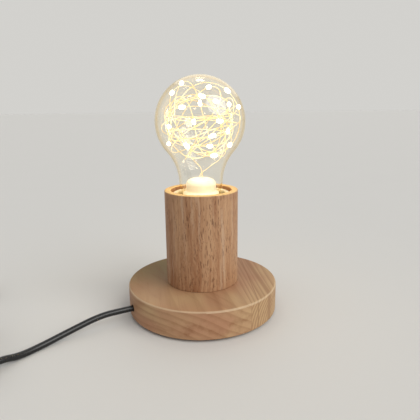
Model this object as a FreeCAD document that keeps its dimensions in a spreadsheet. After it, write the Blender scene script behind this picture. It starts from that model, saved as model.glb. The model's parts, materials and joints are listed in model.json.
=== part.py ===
"""A bare bulb table lamp, millimetres, +Z up, with its origin on the table under the middle of the base.

A turned base disc carries a turned column. A screw-in lamp holder stands on a threaded tube in the
column's bore, and holds a clear bulb with a wound wire of small lights. The cord leaves the base
through a drilled hole, and carries a rocker switch and a two-pin plug.
"""

import FreeCAD, Part
import math
import os

import Sketcher

Vector = FreeCAD.Vector
Rotation = FreeCAD.Rotation
UP = Vector(0, 0, 1)

# The driving dimensions: alias, value, what it is. Lengths in millimetres, angles in degrees.
DIMENSIONS = (
    ("base_radius", 52.0, "base disc, outer radius"),
    ("base_height", 19.0, "base disc, thickness"),
    ("base_round", 1.2, "base disc, rounding of its two rims"),
    ("pad_radius", 49.0, "soft pad under the base, radius"),
    ("pad_thick", 1.5, "soft pad under the base, thickness"),
    ("recess_radius", 23.0, "recess under the base, radius"),
    ("recess_depth", 10.6, "recess under the base, depth"),
    ("pocket_radius", 11.0, "nut pocket above the recess, radius"),
    ("pocket_depth", 2.9, "nut pocket above the recess, depth"),
    ("column_radius", 25.0, "column, outer radius"),
    ("column_height", 65.0, "column, height above the base disc"),
    ("column_round", 0.8, "column, rounding of its rims"),
    ("bore_radius", 20.6, "column, bore for the lamp holder"),
    ("web_height", 11.5, "column, solid web below the bore"),
    ("tube_radius", 5.0, "threaded tube, outer radius"),
    ("tube_bore", 3.6, "threaded tube, bore for the two leads"),
    ("tube_end", 0.6, "threaded tube, length past the lower nut"),
    ("play", 0.2, "clearance round parts that pass through wood"),
    ("snug", 0.05, "clearance between parts that are screwed or plugged together"),
    ("nut_flats", 15.0, "tube nuts, width across the flats"),
    ("nut_thick", 3.0, "tube nuts, thickness"),
    ("washer_radius", 9.0, "tube washers, outer radius"),
    ("washer_thick", 1.0, "tube washers, thickness"),
    ("screw_ring", 15.5, "column screws, distance from the axis"),
    ("screw_shank", 1.6, "column screws, shank radius"),
    ("screw_head", 3.3, "column screws, head radius"),
    ("screw_length", 17.0, "column screws, length"),
    ("cord_radius", 2.0, "cord, outer radius"),
    ("cord_hole", 2.5, "cord hole in the base, radius"),
    ("cord_height", 7.8, "cord hole, height of its axis above the wood's underside"),
    ("cord_bearing", 205.5, "cord hole, bearing about the lamp's axis"),
    ("jacket_end", 13.0, "distance from the axis at which the cord's jacket ends"),
    ("lead_radius", 0.8, "the cord's two insulated leads, radius"),
    ("lead_gap", 1.05, "the leads' distance from the cord's middle"),
    ("rim_below", 2.0, "holder rim, distance below the column's top"),
    ("holder_radius", 19.8, "lamp holder, outer radius"),
    ("mouth_radius", 16.4, "lamp holder, radius of its mouth"),
    ("thread_pitch", 3.629, "bulb thread, pitch"),
    ("thread_depth", 0.5, "bulb thread, half of its depth"),
    ("cap_mean", 12.65, "bulb thread, mean radius"),
    ("cap_sheet", 0.35, "bulb cap, sheet thickness"),
    ("shell_mean", 12.95, "holder thread, mean radius"),
    ("shell_sheet", 0.4, "holder screw shell, sheet thickness"),
    ("skirt_radius", 13.9, "bulb cap, radius of the plain skirt"),
    ("tip_height", 53.5, "underside of the bulb's tip contact"),
    ("globe_radius", 29.7, "bulb, radius of the globe"),
    ("globe_height", 130.5, "bulb, height of the globe's centre"),
    ("neck_radius", 14.7, "bulb, radius at the top of the neck"),
    ("neck_height", 90.0, "bulb, height at which the neck starts to widen"),
    ("neck_foot", 13.3, "bulb, radius of the neck inside the cap"),
    ("glass_thick", 0.8, "bulb, wall of the glass"),
    ("stopper_radius", 10.2, "white stopper in the bulb's neck, radius"),
    ("stopper_top", 93.6, "top of the white stopper"),
    ("wire_radius", 0.25, "wire of small lights, radius"),
    ("wire_inner", 10.0, "wire of small lights, radius of its innermost loop"),
    ("wire_outer", 27.0, "wire of small lights, radius of its outermost loop"),
    ("coil_inner", 17.5, "cord coil, radius of its innermost turn"),
    ("coil_pitch", 4.65, "cord coil, step between turns and between layers"),
    ("coil_lift", 1.0, "cord coil, height of its lowest turns above the table"),
    ("tie_thick", 0.7, "cord tie, thickness"),
    ("tie_width", 7.0, "cord tie, width"),
    ("switch_length", 48.0, "cord switch, length"),
    ("switch_width", 20.0, "cord switch, width"),
    ("switch_height", 14.0, "cord switch, height"),
    ("switch_split", 7.0, "cord switch, height of the joint between its halves"),
    ("rocker_tilt", 9.0, "switch rocker, tilt from level when the switch is on"),
    ("plug_width", 35.0, "plug, width across the pins"),
    ("plug_depth", 33.0, "plug, length of its body"),
    ("plug_height", 13.8, "plug, thickness"),
    ("pin_radius", 2.0, "plug pins, radius"),
    ("pin_length", 19.0, "plug pins, length past the body"),
    ("collar_length", 10.0, "plug, length of the insulating collars round the pins' roots"),
    ("collar_radius", 1.8, "plug, radius of those collars"),
    ("root_radius", 1.4, "plug pins, radius inside the collars"),
    ("pin_spacing", 18.6, "plug pins, distance between their axes"),
    ("relief_length", 20.0, "plug strain relief, length"),
)

LOOP_TURNS = 16            # loops of the wire of small lights
ARC_SHARE = 0.45           # share of the shorter run that a bend of the cord takes
LIGHT_COUNT = 20           # lights on that wire
LAYER_TURNS = 2.52         # turns in one layer of the cord coil
LAYERS = 4                 # layers of the cord coil
THREAD_TURNS = 5           # turns that unscrew the bulb
COIL_CENTRE = (-158.6, -64.4)
SWITCH_START = (-116.2, -77.6)
SWITCH_HEADING = 229.0     # degrees, the way the cord runs through the switch
PLUG_START = (-177.8, -29.5)

doc = FreeCAD.newDocument("table_lamp")
sheet = doc.addObject("Spreadsheet::Sheet", "dims")
nodes = []


class Dim:
    """A length that knows both its number and the sheet expression that gives it."""

    def __init__(self, value, text):
        self.value = float(value)
        self.text = text

    def __float__(self):
        return self.value

    def __add__(self, other):
        return Dim(self.value + float(other), f"({self.text} + {wording(other)})")

    def __radd__(self, other):
        return Dim(float(other) + self.value, f"({wording(other)} + {self.text})")

    def __sub__(self, other):
        return Dim(self.value - float(other), f"({self.text} - {wording(other)})")

    def __rsub__(self, other):
        return Dim(float(other) - self.value, f"({wording(other)} - {self.text})")

    def __mul__(self, other):
        return Dim(self.value * float(other), f"({self.text} * {wording(other)})")

    __rmul__ = __mul__

    def __neg__(self):
        return Dim(-self.value, f"(0 - {self.text})")


def wording(number):
    """The text that stands for a number in an expression."""
    return number.text if isinstance(number, Dim) else f"{float(number):.6f}"


class Sizes:
    """Reads the driving dimensions from the sheet, each as a Dim."""

    def __getattr__(self, alias):
        return Dim(sheet.get(alias), f"dims.{alias}")


def fill_sheet():
    """Write the driving dimensions into the sheet."""
    for row, (alias, value, meaning) in enumerate(DIMENSIONS, start=1):
        sheet.set(f"A{row}", meaning)
        sheet.set(f"B{row}", str(value))
        sheet.setAlias(f"B{row}", alias)
    doc.recompute()


fill_sheet()
size = Sizes()

# Heights that follow from the driving dimensions
wood_foot = size.pad_thick
base_top = wood_foot + size.base_height
column_top = base_top + size.column_height
recess_top = wood_foot + size.recess_depth
pocket_top = recess_top + size.pocket_depth
web_top = base_top + size.web_height
cord_axis = wood_foot + size.cord_height
tube_low = pocket_top - size.washer_thick - size.nut_thick - size.tube_end
upper_nut_top = web_top + size.washer_thick + size.nut_thick
rim_top = column_top - size.rim_below

# Heights inside the lamp holder, from the top of the upper nut
cup_foot = upper_nut_top + 0.3
cup_floor = cup_foot + 7.7
cup_rim = cup_foot + 13.7
insert_foot = cup_floor + 2.3
insert_floor = insert_foot + 5.7
shell_foot = insert_floor + 2.0
shell_top = shell_foot + 21.5
tube_top = cup_floor - 0.6

# Heights on the bulb, from its tip
cap_cone = size.tip_height + 2.0
cap_thread = size.tip_height + 4.5
cap_skirt = size.tip_height + 22.4
cap_top = cap_skirt + 5.2
glass_foot = cap_skirt + 1.8


# ---- helpers ----

def bind(item, path, dim):
    """Set one property of an object from the sheet."""
    item.setExpression(path, dim.text if isinstance(dim, Dim) else wording(dim))


def place(item, x=0.0, y=0.0, z=0.0, rotation=None):
    """Put a primitive at a place, each coordinate bound to the sheet when it is a Dim."""
    item.Placement = FreeCAD.Placement(Vector(float(x), float(y), float(z)), rotation or Rotation())
    for path, dim in (("x", x), ("y", y), ("z", z)):
        if isinstance(dim, Dim):
            bind(item, f".Placement.Base.{path}", dim)
    return item


def cylinder(name, radius, height, **where):
    """A cylinder along its own Z axis."""
    item = doc.addObject("Part::Cylinder", name)
    bind(item, "Radius", radius)
    bind(item, "Height", height)
    return place(item, **where)


def cone(name, low_radius, high_radius, height, **where):
    """A cone along its own Z axis."""
    item = doc.addObject("Part::Cone", name)
    bind(item, "Radius1", low_radius)
    bind(item, "Radius2", high_radius)
    bind(item, "Height", height)
    return place(item, **where)


def box(name, length, width, height, **where):
    """A box from its lowest corner."""
    item = doc.addObject("Part::Box", name)
    bind(item, "Length", length)
    bind(item, "Width", width)
    bind(item, "Height", height)
    return place(item, **where)


def join(name, *parts):
    """One solid from several that touch or overlap."""
    item = doc.addObject("Part::MultiFuse", name)
    item.Shapes = list(parts)
    item.Refine = True
    return item


def cut(name, base, *tools):
    """A solid with others taken away from it."""
    tool = tools[0] if len(tools) == 1 else join(f"{name}_tools", *tools)
    item = doc.addObject("Part::Cut", name)
    item.Base = base
    item.Tool = tool
    return item


def group(name, *parts):
    """Several separate solids in one sub-part."""
    item = doc.addObject("Part::Compound", name)
    item.Links = list(parts)
    return item


def fixed(name, shape, placement=None):
    """A sub-part whose shape is worked out here."""
    item = doc.addObject("Part::Feature", name)
    item.Shape = shape
    if placement:
        item.Placement = placement.multiply(item.Placement)
    return item


def node(label, item):
    """Name an object as one of the lamp's sub-parts."""
    item.Label = label
    nodes.append(item)
    return item


def origin_plane(body, role):
    """One of a body's own origin planes."""
    return next(o for o in body.Origin.OriginFeatures if o.Role == role)


def outline_sketch(body, name, role, corners):
    """A closed outline of straight lines, with every corner bound to the sheet."""
    sketch = body.newObject("Sketcher::SketchObject", name)
    sketch.AttachmentSupport = (origin_plane(body, role), [""])
    sketch.MapMode = "FlatFace"
    points = [Vector(float(x), float(y), 0) for x, y in corners]
    count = len(points)
    for i in range(count):
        sketch.addGeometry(Part.LineSegment(points[i], points[(i + 1) % count]))
    for i in range(count):
        sketch.addConstraint(Sketcher.Constraint("Coincident", i, 2, (i + 1) % count, 1))
    for i, (x, y) in enumerate(corners):
        hold(sketch, "DistanceX", i, x, -2)
        hold(sketch, "DistanceY", i, y, -1)
    return sketch


def hold(sketch, kind, line, dim, axis):
    """Keep the start of a line at a distance from the sketch's origin, or on an axis where it is 0."""
    if float(dim) == 0.0:
        sketch.addConstraint(Sketcher.Constraint("PointOnObject", line, 1, axis))
        return
    index = sketch.addConstraint(Sketcher.Constraint(kind, -1, 1, line, 1, float(dim)))
    if isinstance(dim, Dim):
        sketch.setExpression(f"Constraints[{index}]", dim.text)


def turned(name, *corners):
    """A body turned about the Z axis from its outline of (radius, height) corners."""
    body = doc.addObject("PartDesign::Body", name)
    sketch = outline_sketch(body, f"{name}_outline", "XZ_Plane", corners)
    revolution = body.newObject("PartDesign::Revolution", f"{name}_turning")
    revolution.Profile = sketch
    revolution.ReferenceAxis = (sketch, ["V_Axis"])
    revolution.Angle = 360
    doc.recompute()
    return body


def padded(name, height, *corners):
    """A body made by padding an outline of (x, y) corners upwards."""
    body = doc.addObject("PartDesign::Body", name)
    pad = body.newObject("PartDesign::Pad", f"{name}_pad")
    pad.Profile = outline_sketch(body, f"{name}_outline", "XY_Plane", corners)
    bind(pad, "Length", height)
    doc.recompute()
    return body


def rounded(body, radius, wanted):
    """Round the edges of a body's tip that the wanted test picks."""
    tip = body.Tip
    edges = [f"Edge{i}" for i, edge in enumerate(tip.Shape.Edges, start=1) if wanted(edge)]
    fillet = body.newObject("PartDesign::Fillet", f"{body.Name}_rounding_{len(body.Group)}")
    fillet.Base = (tip, edges)
    bind(fillet, "Radius", radius)
    doc.recompute()
    return body


def ring_edge(radius, height):
    """A test for a circular edge of this radius at this height."""

    def wanted(edge):
        curve = edge.Curve
        return (
            isinstance(curve, Part.Circle)
            and abs(curve.Radius - float(radius)) < 0.01
            and abs(curve.Center.z - float(height)) < 0.01
        )

    return wanted


def heading(degrees):
    """The unit vector on the table at a bearing."""
    return Vector(math.cos(math.radians(degrees)), math.sin(math.radians(degrees)), 0)


# ---- wires, cords and leads ----

def rounded_path(points, report=""):
    """Straight runs joined by tangent arcs, each as large as its two runs allow."""
    edges = []
    radii = []
    start = points[0]
    for before, corner, after in zip(points, points[1:], points[2:]):
        back = (before - corner).normalize()
        ahead = (after - corner).normalize()
        turn = math.pi - back.getAngle(ahead)
        reach = ARC_SHARE * min((before - corner).Length, (after - corner).Length)
        radius = reach / math.tan(turn / 2)
        radii.append(radius)
        middle = (back + ahead).normalize()
        enter = corner + back * reach
        leave = corner + ahead * reach
        top = corner + middle * (radius / math.cos(turn / 2) - radius)
        edges.append(Part.LineSegment(start, enter).toShape())
        edges.append(Part.Arc(enter, top, leave).toShape())
        start = leave
    edges.append(Part.LineSegment(start, points[-1]).toShape())
    if report:
        total = sum(edge.Length for edge in edges)
        bends = ", ".join(f"{radius:.1f}" for radius in radii)
        print(f"{report}: length {total:.1f} mm, bend radii {bends} mm")
    return edges


def biarc(start, start_way, end, end_way):
    """Two arcs that leave one point and reach another in the ways given."""
    span = end - start
    ways = start_way + end_way
    slack = 2 * (1 - start_way.dot(end_way))
    along = span.dot(ways)
    if slack < 1e-9:
        reach = span.dot(span) / (2 * along)
    else:
        reach = (-along + math.sqrt(along * along + slack * span.dot(span))) / slack
    first = start + start_way * reach
    last = end - end_way * reach
    meeting = (first + last) * 0.5
    return [tangent_arc(start, first, meeting), tangent_arc(meeting, last, end)]


def tangent_arc(start, apex, end):
    """The arc between two points whose tangents there cross at the apex."""
    chord_middle = (start + end) * 0.5
    cosine = (end - start).Length / (start - apex).Length / 2
    if cosine > 1 - 1e-9:
        return Part.LineSegment(start, end).toShape()
    through = chord_middle + (apex - chord_middle) * (cosine / (1 + cosine))
    return Part.Arc(start, through, end).toShape()


def wound_path(knots):
    """A smooth path of biarcs through knots, each a point and the way that the path runs there."""
    edges = []
    for (start, start_way), (end, end_way) in zip(knots, knots[1:]):
        edges += biarc(start, start_way, end, end_way)
    return edges


def swept(edges, radius):
    """A round tube along a path of edges."""
    path = Part.Wire(edges)
    start = edges[0].valueAt(edges[0].FirstParameter)
    way = edges[0].tangentAt(edges[0].FirstParameter)
    ring = Part.Wire(Part.Circle(start, way, float(radius)).toShape())
    tube = path.makePipeShell([ring], True, False)
    expected = math.pi * float(radius) ** 2 * path.Length
    if abs(tube.Volume / expected - 1) > 0.01:
        raise ValueError(f"a tube holds {tube.Volume:.1f} mm3 where its path gives {expected:.1f} mm3")
    return tube


def least_gap(edges, radius, name):
    """Measure on points how near a wound tube comes to itself, and print it."""
    step = float(radius)
    points = []
    for edge in edges:
        count = max(2, round(edge.Length / step))
        points += edge.discretize(Number=count)[:-1]
    cells = {}
    side = 6 * step
    lengths = [0.0]
    for first, second in zip(points, points[1:]):
        lengths.append(lengths[-1] + (second - first).Length)
    for index, point in enumerate(points):
        cells.setdefault(tuple(math.floor(c / side) for c in point), []).append(index)
    least = side
    for (i, j, k), members in cells.items():
        near = []
        for a in (-1, 0, 1):
            for b in (-1, 0, 1):
                for c in (-1, 0, 1):
                    near += cells.get((i + a, j + b, k + c), [])
        for one in members:
            for other in near:
                if lengths[other] - lengths[one] > 12 * step:
                    least = min(least, (points[one] - points[other]).Length)
    print(f"{name}: length {lengths[-1]:.0f} mm, least gap to itself {least - 2 * float(radius):.2f} mm")


# ---- base and column ----

def make_base():
    """The base disc with its recess, nut pocket, cord hole and screw holes, and the pad beneath."""
    pad = turned(
        "base_pad", (0, 0), (size.pad_radius, 0), (size.pad_radius, size.pad_thick), (0, size.pad_thick)
    )
    node("base_pad", pad)
    tube_hole = size.tube_radius + size.play
    disc = turned(
        "base_turning",
        (size.recess_radius, wood_foot),
        (size.base_radius, wood_foot),
        (size.base_radius, base_top),
        (tube_hole, base_top),
        (tube_hole, pocket_top),
        (size.pocket_radius, pocket_top),
        (size.pocket_radius, recess_top),
        (size.recess_radius, recess_top),
    )
    rounded(disc, size.base_round, ring_edge(size.base_radius, base_top))
    rounded(disc, size.base_round * 0.7, ring_edge(size.base_radius, wood_foot))
    hole = cylinder(
        "cord_hole_drill", size.cord_hole, size.base_radius, z=cord_axis,
        rotation=along_bearing(size.cord_bearing),
    )
    shanks = [drill(f"base_screw_hole_{i}", size.screw_shank + size.play, recess_top - 1.0, 12.0, i)
              for i in range(2)]
    wide = size.screw_head + size.play
    sinks = [screw_cone(f"base_screw_sink_{i}", wide, size.screw_shank, i) for i in range(2)]
    node("base_disc", cut("base_disc", disc, hole, *shanks, *sinks, *clamp_pilots()))


def along_bearing(bearing):
    """The turn that lays a cylinder's axis level at a bearing."""
    return Rotation(Vector(0, 0, 1), heading(float(bearing)))


def screw_place(index):
    """Where a column screw stands, square to the cord."""
    way = heading(float(size.cord_bearing) + 90 + 180 * index)
    return way * float(size.screw_ring)


def drill(name, radius, low, length, index):
    """A vertical hole for one of the column screws."""
    spot = screw_place(index)
    return cylinder(name, radius, length, x=spot.x, y=spot.y, z=low)


def screw_cone(name, radius, shank, index):
    """The countersunk cone of one of the column screws, its wide end on the recess ceiling."""
    spot = screw_place(index)
    return cone(name, radius, shank, size.screw_head - size.screw_shank, x=spot.x, y=spot.y, z=recess_top)


def make_column():
    """The column, bored from above for the holder, with a web that the tube and screws go through."""
    tube_hole = size.tube_radius + size.play
    body = turned(
        "column_turning",
        (tube_hole, base_top),
        (size.column_radius, base_top),
        (size.column_radius, column_top),
        (size.bore_radius, column_top),
        (size.bore_radius, web_top),
        (tube_hole, web_top),
    )
    rounded(body, size.column_round, ring_edge(size.column_radius, column_top))
    rounded(body, size.column_round, ring_edge(size.bore_radius, column_top))
    rounded(body, size.column_round * 0.7, ring_edge(size.column_radius, base_top))
    narrow = size.screw_shank + size.snug
    pilots = [drill(f"column_pilot_{i}", narrow, base_top - 1.0, 10.0, i) for i in range(2)]
    node("column", cut("column", body, *pilots))


def make_column_screws():
    """Two countersunk wood screws, with cross slots, from the recess up into the column."""
    screws = []
    for i in range(2):
        spot = screw_place(i)
        at = {"x": spot.x, "y": spot.y}
        tip_length = 3.0
        plain_length = size.screw_length - tip_length
        shank = cylinder(f"screw_shank_{i}", size.screw_shank, plain_length, z=recess_top, **at)
        head = screw_cone(f"screw_head_{i}", size.screw_head, size.screw_shank, i)
        tip = cone(
            f"screw_tip_{i}", size.screw_shank, 0.2, tip_length, z=recess_top + plain_length, **at
        )
        solid = join(f"screw_solid_{i}", shank, head, tip)
        slots = [
            box(f"screw_slot_{i}_{j}", 3.6 - 2.8 * j, 0.8 + 2.8 * j, 0.9,
                x=spot.x - 1.8 + 1.4 * j, y=spot.y - 0.4 - 1.4 * j, z=recess_top - 0.1)
            for j in range(2)
        ]
        screws.append(cut(f"screw_{i}", solid, *slots))
    node("column_screws", group("column_screws", *screws))


def make_tube():
    """The threaded tube with its two nuts and two washers."""
    blank = cylinder("tube_blank", size.tube_radius, tube_top - tube_low, z=tube_low)
    bore = cylinder("tube_bore_drill", size.tube_bore, tube_top - tube_low + 2.0, z=tube_low - 1.0)
    grooves = []
    pitch = 1.0
    for i in range(int((float(tube_top) - float(tube_low)) / pitch)):
        groove = doc.addObject("Part::Torus", f"tube_groove_{i}")
        bind(groove, "Radius1", size.tube_radius + 0.25)
        groove.Radius2 = 0.45
        grooves.append(place(groove, z=tube_low + (i + 0.5) * pitch))
    node("threaded_tube", cut("threaded_tube", blank, bore, *grooves))
    nut_feet = (pocket_top - size.washer_thick - size.nut_thick, web_top + size.washer_thick)
    nuts = [nut(f"tube_nut_{i}", low) for i, low in enumerate(nut_feet)]
    node("tube_nuts", group("tube_nuts", *nuts))
    washers = [
        ring(f"tube_washer_{i}", size.washer_radius, size.tube_radius + size.play, size.washer_thick, low)
        for i, low in enumerate((pocket_top - size.washer_thick, web_top))
    ]
    node("tube_washers", group("tube_washers", *washers))


def nut(name, low):
    """A hexagon nut on the tube."""
    flats = doc.addObject("Part::Prism", f"{name}_blank")
    flats.Polygon = 6
    bind(flats, "Circumradius", size.nut_flats * (1 / math.sqrt(3)))
    bind(flats, "Height", size.nut_thick)
    place(flats, z=low)
    bore = cylinder(f"{name}_bore", size.tube_radius + size.snug, size.nut_thick + 2.0, z=low - 1.0)
    return cut(name, flats, bore)


def ring(name, outer, inner, thick, low):
    """A flat ring about the lamp's axis."""
    return cut(
        name,
        cylinder(f"{name}_disc", outer, thick, z=low),
        cylinder(f"{name}_hole", inner, thick + 2.0, z=low - 1.0),
    )


# ---- the cord inside the lamp ----

def inside(distance, side, height):
    """A point at a distance along the cord's bearing and to one side of it."""
    along = heading(float(size.cord_bearing))
    across = heading(float(size.cord_bearing) + 90)
    return along * float(distance) + across * float(side) + Vector(0, 0, float(height))


def make_inner_cord():
    """The cord's last stretch in the base, its two leads and the clamp that holds it."""
    turn = along_bearing(size.cord_bearing)
    start = inside(size.jacket_end, 0, cord_axis)
    jacket = cylinder(
        "cord_inner_run", size.cord_radius, size.base_radius - size.jacket_end,
        x=start.x, y=start.y, z=cord_axis,
        rotation=turn,
    )
    node("cord_inner", jacket)
    for name, side in (("live_lead", 1), ("neutral_lead", -1)):
        offset = side * float(size.lead_gap)
        terminal = side * 9.0
        route = [
            inside(size.jacket_end, offset, cord_axis),
            inside(size.jacket_end - 2.6, offset, cord_axis),
            inside(5.4, offset, tube_low - 4.4),
            inside(0.0, offset, tube_low - 4.6),
            inside(0.0, offset, tube_low + 6.0),
            inside(0.0, offset * 1.4, cup_floor - 5.0),
            inside(0.0, offset * 1.6, cup_floor + 1.05),
            inside(0.0, terminal, cup_floor + 1.2),
            inside(0.0, terminal, insert_foot + 2.5),
        ]
        node(name, fixed(name, swept(rounded_path(route, name), size.lead_radius)))
    make_clamp(turn)


def make_clamp(turn):
    """The saddle that presses the cord to the recess ceiling, with its two screws."""
    reach = 17.5
    half_width = 9.0
    thick = 5.0
    low = cord_axis - size.cord_radius - 1.6
    level = Rotation(UP, float(size.cord_bearing))
    corner = inside(reach - thick / 2, -half_width, low)
    block = box(
        "clamp_block", thick, 2 * half_width, recess_top - low,
        x=corner.x, y=corner.y, z=low, rotation=level,
    )
    seat = inside(reach - thick, 0, cord_axis)
    round_seat = cylinder(
        "clamp_seat", size.cord_radius, 2 * thick, x=seat.x, y=seat.y, z=cord_axis, rotation=turn,
    )
    slot_corner = inside(reach - thick, -float(size.cord_radius), cord_axis)
    slot = box(
        "clamp_slot", 2 * thick, 2 * size.cord_radius, 5.0,
        x=slot_corner.x, y=slot_corner.y, z=cord_axis, rotation=level,
    )
    holes = []
    screws = []
    for i, side in enumerate((-6.0, 6.0)):
        spot = inside(reach, side, 0)
        at = {"x": spot.x, "y": spot.y}
        holes.append(cylinder(f"clamp_hole_{i}", 1.3, 12.0, z=low - 1.0, **at))
        shank = cylinder(f"clamp_screw_shank_{i}", 1.2, recess_top - low + 4.0, z=low - 0.5, **at)
        head = cylinder(f"clamp_screw_head_{i}", 2.2, 1.4, z=low - 1.4, **at)
        blank = join(f"clamp_screw_blank_{i}", shank, head)
        slit = box(f"clamp_screw_slit_{i}", 5.0, 0.6, 0.6, x=spot.x - 2.5, y=spot.y - 0.3, z=low - 1.5)
        screws.append(cut(f"clamp_screw_{i}", blank, slit))
    node("cord_clamp", cut("cord_clamp", block, round_seat, slot, *holes))
    node("clamp_screws", group("clamp_screws", *screws))


def clamp_pilots():
    """The pilot holes that the clamp's screws bite in, as one tool."""
    tools = []
    for i, side in enumerate((-6.0, 6.0)):
        spot = inside(17.5, side, 0)
        low_end = recess_top - 0.4
        tools.append(cylinder(f"clamp_pilot_{i}", 1.2 + size.snug, 4.5, x=spot.x, y=spot.y, z=low_end))
    return tools


# ---- lamp holder ----

def make_holder():
    """The holder's cap, outer shell, insert, screw shell, contacts and terminals."""
    tube_fit = size.tube_radius + size.snug
    node("holder_cap", turned(
        "holder_cap",
        (tube_fit, cup_foot),
        (8.0, cup_foot),
        (8.0, cup_foot + 5.0),
        (size.mouth_radius, cup_foot + 5.0),
        (size.holder_radius, cup_foot + 8.3),
        (size.holder_radius, cup_rim),
        (size.holder_radius - 1.8, cup_rim),
        (size.holder_radius - 1.8, cup_floor + 1.5),
        (size.mouth_radius, cup_floor),
        (tube_fit, cup_floor),
    ))
    spigot = size.holder_radius - 1.8 - size.snug
    node("holder_shell", turned(
        "holder_shell",
        (size.mouth_radius, cup_rim - 4.0),
        (spigot, cup_rim - 4.0),
        (spigot, cup_rim + size.snug),
        (size.holder_radius, cup_rim + size.snug),
        (size.holder_radius, rim_top - 1.2),
        (size.holder_radius - 0.4, rim_top - 0.4),
        (size.holder_radius - 1.2, rim_top),
        (size.mouth_radius + 1.0, rim_top),
        (size.mouth_radius + 0.3, rim_top - 0.3),
        (size.mouth_radius, rim_top - 1.0),
        (size.mouth_radius, rim_top - 5.5),
        (size.mouth_radius + 1.2, rim_top - 6.7),
        (size.mouth_radius + 1.2, cup_rim + 2.0),
        (size.mouth_radius, cup_rim + 0.8),
    ))
    sleeve_inner = size.shell_mean + size.thread_depth + size.shell_sheet + size.snug
    sleeve_outer = sleeve_inner + 1.6
    sleeve = turned(
        "insert_turning",
        (0, insert_foot),
        (size.mouth_radius - size.play, insert_foot),
        (size.mouth_radius - size.play, insert_floor + 1.0),
        (sleeve_outer, insert_floor + 1.0),
        (sleeve_outer, shell_top),
        (sleeve_inner, shell_top),
        (sleeve_inner, insert_floor),
        (0, insert_floor),
    )
    level = Rotation(UP, float(size.cord_bearing) + 90)
    pockets = []
    blocks = []
    screws = []
    for i, side in enumerate((1, -1)):
        pockets.append(terminal_box(f"insert_pocket_{i}", side, 6.2, 5.2, insert_foot - 1.0, 6.1, level))
        pockets.append(terminal_slot(f"insert_slot_{i}", side, level))
        pockets.append(terminal_screw_hole(f"insert_screw_way_{i}", side, 1.9, 12.0, level))
        blocks.append(terminal_block(i, side, level))
        screws.append(terminal_screw(i, side, level))
    node("holder_insert", cut("holder_insert", sleeve, *pockets))
    node("terminal_blocks", group("terminal_blocks", *blocks))
    node("terminal_screws", group("terminal_screws", *screws))
    make_screw_shell()
    make_contacts(level)


def terminal_corner(side, length, width, level):
    """The lowest corner of a box of this size, centred on a terminal."""
    return level.multVec(Vector(side * 9.0 - length / 2, -width / 2, 0))


def terminal_box(name, side, length, width, low, height, level):
    """A box about one of the two terminals."""
    corner = terminal_corner(side, length, width, level)
    return box(name, length, width, height, x=corner.x, y=corner.y, z=low, rotation=level)


def terminal_slot(name, side, level):
    """The slot that a contact strip passes through, above one terminal."""
    corner = level.multVec(Vector(side * 8.6 - 0.35, -2.1, 0))
    return box(name, 0.7, 4.2, 4.0, x=corner.x, y=corner.y, z=insert_foot + 4.0, rotation=level)


def terminal_screw_hole(name, side, radius, length, level):
    """A level hole from the side to one terminal's screw."""
    way = level.multVec(Vector(side, 0, 0))
    start = way * 10.0
    turn = Rotation(UP, way)
    return cylinder(name, radius, length, x=start.x, y=start.y, z=insert_foot + 2.4, rotation=turn)


def terminal_block(index, side, level):
    """A brass block with a hole for its lead and one for its screw."""
    blank = terminal_box(f"terminal_blank_{index}", side, 6.0, 5.0, insert_foot + 0.1, 4.8, level)
    spot = level.multVec(Vector(side * 9.0, 0, 0))
    low_end = insert_foot - 0.2
    way = cylinder(f"terminal_way_{index}", size.lead_radius + 0.1, 3.4, x=spot.x, y=spot.y, z=low_end)
    screw_way = terminal_screw_hole(f"terminal_screw_way_{index}", side, 1.25, 4.0, level)
    return cut(f"terminal_block_{index}", blank, way, screw_way)


def terminal_screw(index, side, level):
    """The cheese-head screw in the side of a terminal block."""
    way = level.multVec(Vector(side, 0, 0))
    turn = Rotation(UP, way)
    height = insert_foot + 2.4
    foot = way * 10.2
    head_foot = way * 12.1
    shank = cylinder(f"terminal_shank_{index}", 1.2, 2.5, x=foot.x, y=foot.y, z=height, rotation=turn)
    head = cylinder(f"terminal_head_{index}", 1.7, 1.4, x=head_foot.x, y=head_foot.y, z=height, rotation=turn)
    blank = join(f"terminal_screw_blank_{index}", shank, head)
    slot_corner = level.multVec(Vector(side * 13.2 - 0.5, -2.0, 0))
    slot = box(f"terminal_screw_slot_{index}", 1.0, 4.0, 0.5, x=slot_corner.x, y=slot_corner.y,
               z=height - 0.25, rotation=level)
    return cut(f"terminal_screw_{index}", blank, slot)


def thread_core(mean_radius, low, high):
    """A rounded screw thread: a level circle that climbs along a helix of half the thread's depth."""
    pitch = float(size.thread_pitch)
    depth = float(size.thread_depth)
    height = float(high) - float(low)
    spine = Part.makeHelix(pitch, height, depth)
    spine.rotate(Vector(), UP, 360 * float(low) / pitch)
    spine.translate(Vector(0, 0, float(low)))
    path = Part.Wire(spine.Edges)
    start = path.OrderedEdges[0].valueAt(path.OrderedEdges[0].FirstParameter)
    pipe = Part.BRepOffsetAPI.MakePipeShell(path)
    pipe.setTrihedronMode(Vector(), UP)
    pipe.add(Part.Wire(Part.Circle(start, UP, float(mean_radius)).toShape()))
    pipe.build()
    pipe.makeSolid()
    return pipe.shape()


def make_screw_shell():
    """The holder's brass screw shell: a threaded sleeve with a small inward foot."""
    outer = thread_core(size.shell_mean + size.shell_sheet, shell_foot, shell_top - 1.0)
    inner = thread_core(size.shell_mean, shell_foot - 1.0, shell_top + 1.0)
    shape = outer.cut(inner)
    node("holder_screw_shell", fixed("holder_screw_shell", shape))


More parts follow.
